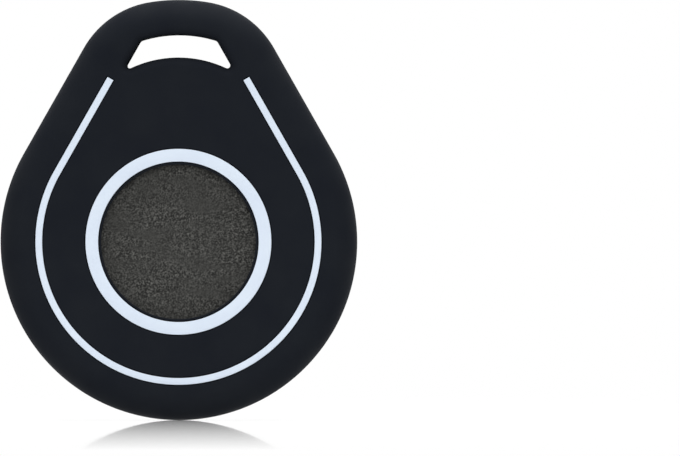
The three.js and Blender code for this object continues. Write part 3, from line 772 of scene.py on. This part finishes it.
# %% Grain tree
GRAIN_MEAN = 0.5  # the noise's value at the level of the plain face
GRAIN_DETAIL = 0.0  # one size of hills only
WORN_RANGE = (0.32, 1.45)  # how high the grain stands in worn and in fresh patches


def grain_tree():
    """A tree that lifts the points in front of a depth by random hills, and keeps the hills' height."""
    tree, sockets = new_tree("spark_grain", {
        "Mesh": "NodeSocketGeometry",
        "Face depth": "NodeSocketFloat",
        "Grain size": "NodeSocketFloat",
        "Grain height": "NodeSocketFloat",
        "Worn patch": "NodeSocketVector",
        "Seed": "NodeSocketFloat",
        "Material": "NodeSocketMaterial",
    }, "Button")
    given = add(tree, "NodeGroupInput").outputs
    place = add(tree, "GeometryNodeInputPosition").outputs["Position"]
    depth = add(tree, "ShaderNodeSeparateXYZ", {"Vector": place}).outputs["Y"]
    on_face = add(tree, "FunctionNodeCompare", {"A": depth, "B": given["Face depth"]}, operation="LESS_THAN")
    density = add(tree, "ShaderNodeMath", {0: 1.0, 1: given["Grain size"]}, operation="DIVIDE")
    hills = add(tree, "ShaderNodeTexNoise", {
        "Vector": place,
        "W": given["Seed"],
        "Scale": density.outputs["Value"],
        "Detail": GRAIN_DETAIL,
    }, noise_dimensions="4D")
    fresh = add(tree, "ShaderNodeMath", {0: hills.outputs["Fac"], 1: GRAIN_MEAN}, operation="SUBTRACT")
    spread = add(tree, "ShaderNodeVectorMath", {0: place, 1: given["Worn patch"]}, operation="DIVIDE")
    patches = add(tree, "ShaderNodeTexNoise", {
        "Vector": spread.outputs["Vector"],
        "W": given["Seed"],
        "Scale": 1.0,
        "Detail": 1.0,
    }, noise_dimensions="4D")
    left_over = add(tree, "ShaderNodeMapRange", {
        "Value": patches.outputs["Fac"],
        "From Min": CLOUD_RANGE[0],
        "From Max": CLOUD_RANGE[1],
        "To Min": WORN_RANGE[0],
        "To Max": WORN_RANGE[1],
    })
    grain = add(tree, "ShaderNodeMath", {
        0: fresh.outputs["Value"],
        1: left_over.outputs["Result"],
    }, operation="MULTIPLY")
    rise = add(tree, "ShaderNodeMath", {
        0: grain.outputs["Value"],
        1: given["Grain height"],
    }, operation="MULTIPLY")
    lift = add(tree, "ShaderNodeVectorMath", {
        0: (0.0, -1.0, 0.0),
        "Scale": rise.outputs["Value"],
    }, operation="SCALE")
    kept = add(tree, "GeometryNodeStoreNamedAttribute", {
        "Geometry": given["Mesh"],
        "Name": GRAIN_ATTRIBUTE,
        "Value": grain.outputs["Value"],
    }, data_type="FLOAT", domain="POINT")
    lifted = add(tree, "GeometryNodeSetPosition", {
        "Geometry": kept.outputs["Geometry"],
        "Selection": on_face.outputs["Result"],
        "Offset": lift.outputs["Vector"],
    })
    real = add(tree, "GeometryNodeRealizeInstances", {"Geometry": lifted.outputs["Geometry"]})
    finished = add(tree, "GeometryNodeSetMaterial", {
        "Geometry": real.outputs["Geometry"],
        "Material": given["Material"],
    })
    add(tree, "NodeGroupOutput", {"Button": finished.outputs["Geometry"]})
    return tree, sockets


spark_grain, grain_sockets = grain_tree()
print("Grain inputs:", list(grain_sockets))

# %% Shape of the button
BUTTON_R = 9.6
BUTTON_EDGE = 0.3
BUTTON_HEIGHT = 1.25  # face to flange
FLANGE_THICK = 0.5
POST_R = 1.4
GRID_STEPS = 280
EDGE_STEPS = 5

button_face = button_low.y
flange_r = (button_high.x - button_low.x) / 2
flat_r = BUTTON_R - BUTTON_EDGE


def on_disc(u, v, radius):
    """A point of a square, from -1 to 1 each way, moved onto a disc with even spacing."""
    if abs(u) >= abs(v):
        angle = math.pi / 4 * v / u if u else 0.0
        return radius * u * math.cos(angle), radius * u * math.sin(angle)
    angle = math.pi / 4 * u / v
    return radius * v * math.sin(angle), radius * v * math.cos(angle)


def button_disc(bm):
    """The even grid of the button's face; returns its border as a loop."""
    shares = [2 * i / GRID_STEPS - 1 for i in range(GRID_STEPS + 1)]
    grid = []
    for v in shares:
        row = [on_disc(u, v, flat_r) for u in shares]
        grid.append([bm.verts.new(in_frame(x, button_face, z)) for x, z in row])
    for row, above in zip(grid, grid[1:]):
        for i in range(GRID_STEPS):
            bm.faces.new((row[i], row[i + 1], above[i + 1], above[i]))
    right = [row[-1] for row in grid]
    left = [row[0] for row in grid]
    return [*grid[0][:-1], *right[:-1], *grid[-1][:0:-1], *left[:0:-1]]


def button_profile():
    """Radius and depth of the button's edges, from the border of its face to the end of its post."""
    flange_front = button_face + BUTTON_HEIGHT
    flange_back = flange_front + FLANGE_THICK
    turns = [math.pi / 2 * i / EDGE_STEPS for i in range(1, EDGE_STEPS + 1)]
    return [
        *((flat_r + BUTTON_EDGE * math.sin(t), button_face + BUTTON_EDGE * (1 - math.cos(t))) for t in turns),
        (BUTTON_R, flange_front),
        (flange_r, flange_front),
        (flange_r, flange_back),
        (POST_R, flange_back),
        (POST_R, button_high.y),
    ]


print(f"Button {2 * BUTTON_R} mm across, flange {2 * flange_r:.1f} mm across")
print(f"Grid step on the face: {2 * flat_r / GRID_STEPS:.3f} mm")

# %% Button
GRAIN_SIZE = 0.18  # one hill and the pit beside it
GRAIN_HEIGHT = 0.06
WORN_PATCH = (5.0, 5.0, 1.5)  # width, depth and height of a worn streak
GRAIN_SEED = 3.0
FACE_SLACK = 0.003  # points this near to the face's plane get the grain


def make_button():
    """The button's grid and rings, with the grain in its mesh."""
    bm = bmesh.new()
    loop = button_disc(bm)
    angles = [math.atan2(vert.co.z / MM - axis_z, vert.co.x / MM) for vert in loop]
    for radius, depth in button_profile():
        ring = [on_arc(0, 0, radius, angle) for angle in angles]
        following = [bm.verts.new(in_frame(x, depth, z)) for x, z in ring]
        join(bm, loop, following)
        loop = following
    bm.faces.new(loop)
    piece = make_piece(bm, "grained_button", button_abs)
    grain = piece.modifiers.new("grain", "NODES")
    grain.node_group = spark_grain
    grain[grain_sockets["Face depth"]] = (button_face + FACE_SLACK) * MM
    grain[grain_sockets["Grain size"]] = GRAIN_SIZE * MM
    grain[grain_sockets["Grain height"]] = GRAIN_HEIGHT * MM
    grain[grain_sockets["Worn patch"]] = [size * MM for size in WORN_PATCH]
    grain[grain_sockets["Seed"]] = GRAIN_SEED
    grain[grain_sockets["Material"]] = button_abs
    bake_modifiers(piece)
    shade(piece)
    print(f"Button of {triangles(piece)} triangles")
    return piece


button = make_button()

# %% [markdown]
# ## Moulded plastics and rubber of the fob
# The fob inside keeps its CAD shapes, and its pieces get their own finishes. The plastics and the seal are
# all moulded, so they share one recipe: clouds of colour and gloss over a bump of grains. What tells them
# apart is the size of the grain, which comes from the mould, and the gloss, which comes from the resin.

# %% Moulded pieces
MOULD_STRENGTH = 0.6
MOULD_SHINE = 0.25


def moulded(name, colours, cloud, roughness, grain, depth, ior):
    """A moulded finish; cloud, grain and depth are in millimetres."""
    material, tree, where = new_finish(name)
    grains = add(tree, "ShaderNodeTexNoise", {"Vector": where, "Scale": per_mm(grain), "Detail": 3.0})
    bump = add(tree, "ShaderNodeBump", {
        "Height": grains.outputs["Fac"],
        "Strength": MOULD_STRENGTH,
        "Distance": depth * MM,
    })
    tones = [linear(colour) for colour in colours]
    more = {"IOR": ior, "Specular IOR Level": MOULD_SHINE}
    end_finish(tree, clouds(tree, where, cloud), tones, roughness, bump.outputs["Normal"], more)
    return material


# Black ABS from an etched mould: an even satin with a fine leathery grain.
shell_abs = moulded(
    "etched_black_abs", ("#1c1d1f", "#232427"),
    cloud=6.0, roughness=(0.62, 0.5), grain=0.25, depth=0.03, ior=ABS_IOR,
)
# Glass-filled polyester of the switch: slightly browner, with the fibres clouding its gloss.
switch_polyester = moulded(
    "glass_filled_polyester", ("#1d1b1a", "#272423"),
    cloud=1.2, roughness=(0.6, 0.42), grain=0.1, depth=0.02, ior=1.57,
)
# Epoxy moulded over the radio chip: dull, with a sandy skin of quartz filler.
chip_epoxy = moulded(
    "quartz_filled_epoxy", ("#1f2022", "#2a2b2e"),
    cloud=1.5, roughness=(0.78, 0.66), grain=0.08, depth=0.015, ior=1.55,
)
# Nylon ring between the halves of the cell: smooth and a little waxy.
gasket_nylon = moulded(
    "smoke_grey_nylon", ("#363c42", "#424950"),
    cloud=2.0, roughness=(0.5, 0.38), grain=0.3, depth=0.01, ior=1.53,
)
# Nitrile rubber of the door's seal: dead matte, dusty with the powder it was packed in.
seal_rubber = moulded(
    "nitrile_rubber", ("#121212", "#1b1b1a"),
    cloud=1.5, roughness=(0.9, 0.76), grain=0.15, depth=0.02, ior=1.52,
)
moulded_finishes = (shell_abs, switch_polyester, chip_epoxy, gasket_nylon, seal_rubber)
print("Moulded finishes:", [finish.name for finish in moulded_finishes])

# %% [markdown]
# ## Door seal
# A rubber cord, joined to a ring, lies in a groove of the battery door and keeps water from the cell. It is
# the sweep again: when the corners of a square section are rounded almost to its middle, the section is
# a circle. The rounding stops just short of that, so that no two points of the section fall together.

# %% Door seal
SEAL_SECTION_R = 0.225
SEAL_ROUNDING = 0.96  # share of the section that is rounded

seal_low, seal_high = box_mm("door_seal")
door_seal = swept(
    "nitrile_seal",
    circle((seal_high.x - seal_low.x) / 2 - SEAL_SECTION_R),
    closed=True,
    middle=(seal_low.y + seal_high.y) / 2,
    width=2 * SEAL_SECTION_R,
    depth=2 * SEAL_SECTION_R,
    edge=SEAL_ROUNDING * SEAL_SECTION_R,
    material=seal_rubber,
)

# %% [markdown]
# ## Bodies
# Each new piece hides the CAD node that it stands for and rides on that node's body, so it moves with it.

# %% Bodies
for piece, node, body, slot in (
    (sleeve, "cover_sleeve", "cover_and_fob", "black_silicone"),
    (line_inlay, "cover_line_inlay", "cover_and_fob", "white_silicone"),
    (ring_inlay, "cover_ring_inlay", "cover_and_fob", "white_silicone"),
    (button, "fob_button", "button", "button_plastic"),
    (door_seal, "door_seal", "door", "seal_rubber"),
):
    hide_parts(node)
    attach(piece, body)
print("Replaced nodes:", [n for n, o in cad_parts.items() if o.hide_render])

# %% [markdown]
# ## Sheet metal, plating and turned marks
# Rolled sheet carries faint straight lines from the rollers, so its noise is stretched along one axis.
# A drawn cell is polished while it spins, so its lines are rings: a noise that reads only the distance
# from the cell's axis. Zinc plating is a fine crystal skin, so the screws have clouds instead of lines.

# %% Recipes for metals
LINE_STRETCH = 0.04  # width of a line, as a share of its length
LINE_RELIEF = 0.1  # depth of a line, as a share of its width
CRYSTAL_RELIEF = 0.05  # height of a crystal, as a share of its size
METAL_STRENGTH = 0.3


def rolled_sheet(name, colours, roughness, line):
    """Sheet metal with straight rolling lines of a width in millimetres."""
    material, tree, where = new_finish(name)
    stretched = add(tree, "ShaderNodeMapping", {"Vector": where, "Scale": (LINE_STRETCH, 1.0, 1.0)})
    lines = clouds(tree, stretched.outputs["Vector"], line)
    bump = add(tree, "ShaderNodeBump", {
        "Height": lines,
        "Strength": METAL_STRENGTH,
        "Distance": line * LINE_RELIEF * MM,
    })
    tones = [linear(colour) for colour in colours]
    end_finish(tree, lines, tones, roughness, bump.outputs["Normal"], {"Metallic": 1.0})
    return material


def spun_metal(name, node, colours, roughness, line):
    """Metal with fine rings about the middle of a node."""
    material, tree, where = new_finish(name)
    low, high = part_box(node)
    offset = add(tree, "ShaderNodeVectorMath", {0: where, 1: (low + high) / 2}, operation="SUBTRACT")
    flat = add(tree, "ShaderNodeVectorMath", {
        0: offset.outputs["Vector"],
        1: (1.0, 0.0, 1.0),
    }, operation="MULTIPLY")
    reach = add(tree, "ShaderNodeVectorMath", {0: flat.outputs["Vector"]}, operation="LENGTH")
    rings = add(tree, "ShaderNodeTexNoise", {
        "W": reach.outputs["Value"],
        "Scale": per_mm(line),
        "Detail": 3.0,
    }, noise_dimensions="1D")
    bump = add(tree, "ShaderNodeBump", {
        "Height": rings.outputs["Fac"],
        "Strength": METAL_STRENGTH,
        "Distance": line * LINE_RELIEF * MM,
    })
    tones = [linear(colour) for colour in colours]
    end_finish(tree, rings.outputs["Fac"], tones, roughness, bump.outputs["Normal"], {"Metallic": 1.0})
    return material


def plated_steel(name, colours, roughness, crystal):
    """A plated skin, clouded by crystals of a size in millimetres."""
    material, tree, where = new_finish(name)
    skin_noise = clouds(tree, where, crystal)
    bump = add(tree, "ShaderNodeBump", {
        "Height": skin_noise,
        "Strength": METAL_STRENGTH,
        "Distance": crystal * CRYSTAL_RELIEF * MM,
    })
    tones = [linear(colour) for colour in colours]
    end_finish(tree, skin_noise, tones, roughness, bump.outputs["Normal"], {"Metallic": 1.0})
    return material


print(f"Lines are {1 / LINE_STRETCH:.0f} times as long as they are wide")

# %% Metals
# Stainless sheet, stamped: a cool grey shine with fine straight lines.
switch_steel = rolled_sheet(
    "stamped_stainless_steel", ("#b4b8bd", "#c9cdd1"), roughness=(0.42, 0.28), line=0.06,
)
# Bronze sheet under nickel: warmer and a little brighter, with wider lines.
contact_bronze = rolled_sheet(
    "nickel_plated_bronze", ("#bdb6a2", "#d4cdbb"), roughness=(0.38, 0.24), line=0.08,
)
# The cell's can and cap, drawn and nickel plated: bright, with faint rings about their middle.
can_nickel = spun_metal(
    "drawn_nickel_plated_can", "coin_cell_can", ("#b9bbbd", "#d0d2d3"), roughness=(0.36, 0.22), line=0.12,
)
cap_nickel = spun_metal(
    "drawn_nickel_plated_cap", "coin_cell_cap", ("#b3b5b7", "#cacccd"), roughness=(0.4, 0.26), line=0.1,
)
# Steel screws under zinc: duller, with a cloudy bluish skin.
screw_zinc = plated_steel(
    "zinc_plated_steel", ("#a3abb3", "#c3c6c4"), roughness=(0.44, 0.28), crystal=0.25,
)
metals = (switch_steel, contact_bronze, can_nickel, cap_nickel, screw_zinc)
print("Metals:", [finish.name for finish in metals])

# %% [markdown]
# ## Board and ceramics
# The board is woven glass in epoxy under green solder mask. Copper under the mask shows as lighter green
# tracks, which rows of long bricks imitate, and the weave shows as a faint grid in the gloss. The ceramic
# parts are fired blocks whose two ends are dipped in metal, so a mask along their longest side
# switches from speckled ceramic to tin.

# %% Board
TRACK_LENGTH = 4.0
TRACK_PITCH = 0.6
TRACK_GAP = 0.12
WEAVE = 0.5
WEAVE_DEPTH = 0.01
WEAVE_STRENGTH = 0.4
THREAD_WAVER = 0.4  # how much the threads wander
THREAD_TINT = 0.25  # how far the threads change the mask's colour and gloss
WAVE_PERIOD = math.pi / 10  # length of one wave at a texture scale of 1
MASK_IOR = 1.5
MASK_SHINE = 0.5
MASK_ROUGHNESS = (0.32, 0.5)


def masked_board():
    """Glossy green solder mask over copper tracks and woven glass."""
    material, tree, where = new_finish("solder_masked_glass_epoxy")
    flat = add(tree, "ShaderNodeMapping", {"Vector": where, "Rotation": (math.pi / 2, 0.0, 0.0)})
    tracks = add(tree, "ShaderNodeTexBrick", {
        "Vector": flat.outputs["Vector"],
        "Color1": linear("#1d6b3d"),
        "Color2": linear("#1a6338"),
        "Mortar": linear("#124a2a"),
        "Scale": per_mm(1.0),
        "Brick Width": TRACK_LENGTH,
        "Row Height": TRACK_PITCH,
        "Mortar Size": TRACK_GAP,
    })
    warp, weft = (
        add(tree, "ShaderNodeTexWave", {
            "Vector": where,
            "Scale": WAVE_PERIOD * per_mm(WEAVE),
            "Distortion": THREAD_WAVER,
        }, bands_direction=direction)
        for direction in ("X", "Z")
    )
    threads = add(tree, "ShaderNodeMath", {
        0: warp.outputs["Fac"],
        1: weft.outputs["Fac"],
    }, operation="MAXIMUM")
    bump = add(tree, "ShaderNodeBump", {
        "Height": threads.outputs["Value"],
        "Strength": WEAVE_STRENGTH,
        "Distance": WEAVE_DEPTH * MM,
    })
    colours = tracks.outputs["Color"], linear("#17562f")
    share = add(tree, "ShaderNodeMath", {0: threads.outputs["Value"], 1: THREAD_TINT}, operation="MULTIPLY")
    more = {"IOR": MASK_IOR, "Specular IOR Level": MASK_SHINE}
    end_finish(tree, share.outputs["Value"], colours, MASK_ROUGHNESS, bump.outputs["Normal"], more)
    return material


board_laminate = masked_board()
print(f"{board_laminate.name}: tracks every {TRACK_PITCH} mm, threads every {WEAVE} mm")

# %% Ceramics
TERMINAL = 0.5  # length of a metal end
SPECKLE = 0.12
SPECKLE_RELIEF = 0.1  # depth of the speckles, as a share of their width
SPECKLE_STRENGTH = 0.3
CERAMIC_IOR = 1.6
TIPPED_ROUGHNESS = (0.6, 0.34)  # ceramic and tin


def tipped_ceramic(name, node, colours):
    """Fired ceramic with metal ends along the longest side of a node."""
    material, tree, where = new_finish(name)
    low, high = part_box(node)
    size = high - low
    longest = max(range(3), key=lambda side: size[side])
    offset = add(tree, "ShaderNodeVectorMath", {0: where, 1: (low + high) / 2}, operation="SUBTRACT")
    along = add(tree, "ShaderNodeSeparateXYZ", {"Vector": offset.outputs["Vector"]}).outputs[longest]
    reach = add(tree, "ShaderNodeMath", {0: along}, operation="ABSOLUTE")
    tip = add(tree, "ShaderNodeMath", {
        0: reach.outputs["Value"],
        1: size[longest] / 2 - TERMINAL * MM,
    }, operation="GREATER_THAN").outputs["Value"]
    speckle = clouds(tree, where, SPECKLE)
    first, second = (linear(colour) for colour in colours)
    body = add(tree, "ShaderNodeMix", {0: speckle, MIX_FROM: first, MIX_TO: second}, data_type="RGBA")
    bump = add(tree, "ShaderNodeBump", {
        "Height": speckle,
        "Strength": SPECKLE_STRENGTH,
        "Distance": SPECKLE * SPECKLE_RELIEF * MM,
    })
    tones = body.outputs[MIXED], linear("#c6c8c9")
    more = {"Metallic": tip, "IOR": CERAMIC_IOR}
    end_finish(tree, tip, tones, TIPPED_ROUGHNESS, bump.outputs["Normal"], more)
    return material


# Fired ceramic of the capacitor: matte brown, speckled, between bright tin ends.
capacitor_ceramic = tipped_ceramic("tin_tipped_brown_ceramic", "buffer_capacitor", ("#a8895c", "#bda074"))
# Fired ceramic of the antenna: the same, but chalky white.
antenna_ceramic = tipped_ceramic("tin_tipped_white_ceramic", "chip_antenna", ("#d3cfc4", "#e0ddd4"))
print("Ceramics:", [finish.name for finish in (capacitor_ceramic, antenna_ceramic)])

# %% Finishes of the CAD nodes
NODE_FINISHES = {
    "fob_front_shell": shell_abs,
    "fob_rear_shell": shell_abs,
    "battery_door": shell_abs,
    "circuit_board": board_laminate,
    "switch_base": switch_polyester,
    "switch_plunger": switch_polyester,
    "switch_frame": switch_steel,
    "crystal": switch_steel,
    "radio_chip": chip_epoxy,
    "buffer_capacitor": capacitor_ceramic,
    "chip_antenna": antenna_ceramic,
    "coin_cell_can": can_nickel,
    "coin_cell_cap": cap_nickel,
    "coin_cell_gasket": gasket_nylon,
    "contact_positive": contact_bronze,
    "contact_negative": contact_bronze,
    "shell_screw_1": screw_zinc,
    "shell_screw_2": screw_zinc,
    "shell_screw_3": screw_zinc,
}
for node, material in NODE_FINISHES.items():
    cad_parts[node].data.materials.clear()
    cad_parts[node].data.materials.append(material)
plain = [n for n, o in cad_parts.items() if n not in NODE_FINISHES and not o.hide_render]
print(f"{len(NODE_FINISHES)} CAD nodes finished, {len(plain)} left plain")

# %% [markdown]
# ## Studio
# A product like this stands on a glossy white sheet, whose mirror image of it fades away towards the
# viewer. The sheet here is a disc that grows clear towards its edge, so the mirror image and the shadow
# fade and no horizon shows. The world is plain white where the camera or a reflection sees it, and
# dimmer as a source of light, so the background stays white without bleaching the object. The sheet, too,
# is plain white where a reflection sees it, which lightens the object's lower rim.

# %% Floor
FLOOR_R = 270.0
FLOOR_CLEAR = 0.12  # how clear the sheet is under the object
FLOOR_ROUGHNESS = 0.02
FLOOR_SEGMENTS = 96
ACRYLIC_IOR = 1.49
RIPPLE = 30.0
RIPPLE_DEPTH = 0.02
RIPPLE_STRENGTH = 0.05


def glossy_white_sheet():
    """Polished white acrylic: a white body under a smooth surface, which mirrors what stands on it."""
    material, tree, where = new_finish("polished_white_acrylic")
    reach = add(tree, "ShaderNodeVectorMath", {0: where}, operation="LENGTH")
    fade = add(tree, "ShaderNodeMapRange", {
        "Value": reach.outputs["Value"],
        "From Max": FLOOR_R * MM,
        "To Min": FLOOR_CLEAR,
    })
    ripple = add(tree, "ShaderNodeTexNoise", {"Vector": where, "Scale": per_mm(RIPPLE), "Detail": 1.0})
    bump = add(tree, "ShaderNodeBump", {
        "Height": ripple.outputs["Fac"],
        "Strength": RIPPLE_STRENGTH,
        "Distance": RIPPLE_DEPTH * MM,
    })
    sheet = add(tree, "ShaderNodeBsdfPrincipled", {
        "Base Color": linear("#f0f0f0"),
        "Roughness": FLOOR_ROUGHNESS,
        "IOR": ACRYLIC_IOR,
        "Normal": bump.outputs["Normal"],
    })
    clear = add(tree, "ShaderNodeBsdfTransparent")
    mix = add(tree, "ShaderNodeMixShader", {
        0: fade.outputs["Result"],
        1: sheet.outputs["BSDF"],
        2: clear.outputs["BSDF"],
    })
    glossy = add(tree, "ShaderNodeLightPath").outputs["Is Glossy Ray"]
    plain_white = add(tree, "ShaderNodeEmission", {"Color": linear("#ffffff"), "Strength": 1.0})
    shown = add(tree, "ShaderNodeMixShader", {
        0: glossy,
        1: mix.outputs["Shader"],
        2: plain_white.outputs["Emission"],
    })
    add(tree, "ShaderNodeOutputMaterial", {"Surface": shown.outputs["Shader"]})
    material.cycles.emission_sampling = "NONE"  # it is white in reflections, but no lamp
    return material


floor_bm = bmesh.new()
bmesh.ops.create_circle(floor_bm, cap_ends=True, segments=FLOOR_SEGMENTS, radius=FLOOR_R * MM)
floor = make_piece(floor_bm, "floor", glossy_white_sheet())
floor.location.z = min(vert.co.z for vert in sleeve.data.vertices)
print(f"Floor at {floor.location.z / MM:.2f} mm")

# %% World
WORLD_LIGHT = 0.3

world = bpy.data.worlds.new("studio")
world.use_nodes = True
world.node_tree.nodes.clear()
bpy.context.scene.world = world
rays = add(world.node_tree, "ShaderNodeLightPath").outputs
reflected = add(world.node_tree, "ShaderNodeMath", {
    0: rays["Is Glossy Ray"],
    1: rays["Is Transmission Ray"],
}, operation="MAXIMUM")
seen = add(world.node_tree, "ShaderNodeMath", {
    0: rays["Is Camera Ray"],
    1: reflected.outputs["Value"],
}, operation="MAXIMUM")
lighting = add(world.node_tree, "ShaderNodeBackground", {"Strength": WORLD_LIGHT, "Color": linear("#ffffff")})
backdrop = add(world.node_tree, "ShaderNodeBackground", {"Strength": 1.0, "Color": linear("#ffffff")})
sky = add(world.node_tree, "ShaderNodeMixShader", {
    0: seen.outputs["Value"],
    1: lighting.outputs["Background"],
    2: backdrop.outputs["Background"],
})
add(world.node_tree, "ShaderNodeOutputWorld", {"Surface": sky.outputs["Shader"]})
print("World light:", WORLD_LIGHT)

# %% [markdown]
# ## Softboxes
# The softboxes stand around the object: one above, two in front and two behind, so the back is lit like
# the front. The one above is the strongest, because the photograph's crown is lighter than its face, and
# the rubber mirrors only that one. The others stand a few degrees beside the viewing direction and a
# little above it, so they light the face and the bottom of the window evenly.

# %% Softboxes
SOFTBOX_DISTANCE = 800.0
SOFTBOX_SIDE = 400.0
SIDE_POWER = 1.46  # watts
TOP_POWER = 7.0
TOP_SIDE = 900.0
TOP_LIFT = 90.0
SIDE_TURN = 6.0  # degrees away from straight in front or straight behind
SIDE_LIFT = 15.0  # degrees above the horizon


def softbox(name, turn, lift, width, power, mirrored):
    """A square area light that faces the button's axis from a direction given in degrees."""
    data = bpy.data.lights.new(name, "AREA")
    data.size = width * MM
    data.energy = power
    lamp = bpy.data.objects.new(name, data)
    level = SOFTBOX_DISTANCE * math.cos(math.radians(lift))
    away = Vector((
        level * math.sin(math.radians(turn)),
        -level * math.cos(math.radians(turn)),
        SOFTBOX_DISTANCE * math.sin(math.radians(lift)),
    ))
    lamp.location = in_frame(*away)
    lamp.rotation_euler = away.to_track_quat("Z", "Y").to_euler()
    lamp.visible_camera = False
    lamp.visible_glossy = mirrored
    bpy.context.scene.collection.objects.link(lamp)
    return lamp


softbox("softbox_above", 0.0, TOP_LIFT, TOP_SIDE, TOP_POWER, mirrored=True)
for place, turn in (("front", 0.0), ("behind", 180.0)):
    for hand, turned in (("right", turn + SIDE_TURN), ("left", turn - SIDE_TURN)):
        softbox(f"softbox_{place}_{hand}", turned, SIDE_LIFT, SOFTBOX_SIDE, SIDE_POWER, mirrored=False)
bpy.context.scene.view_settings.view_transform = "Standard"
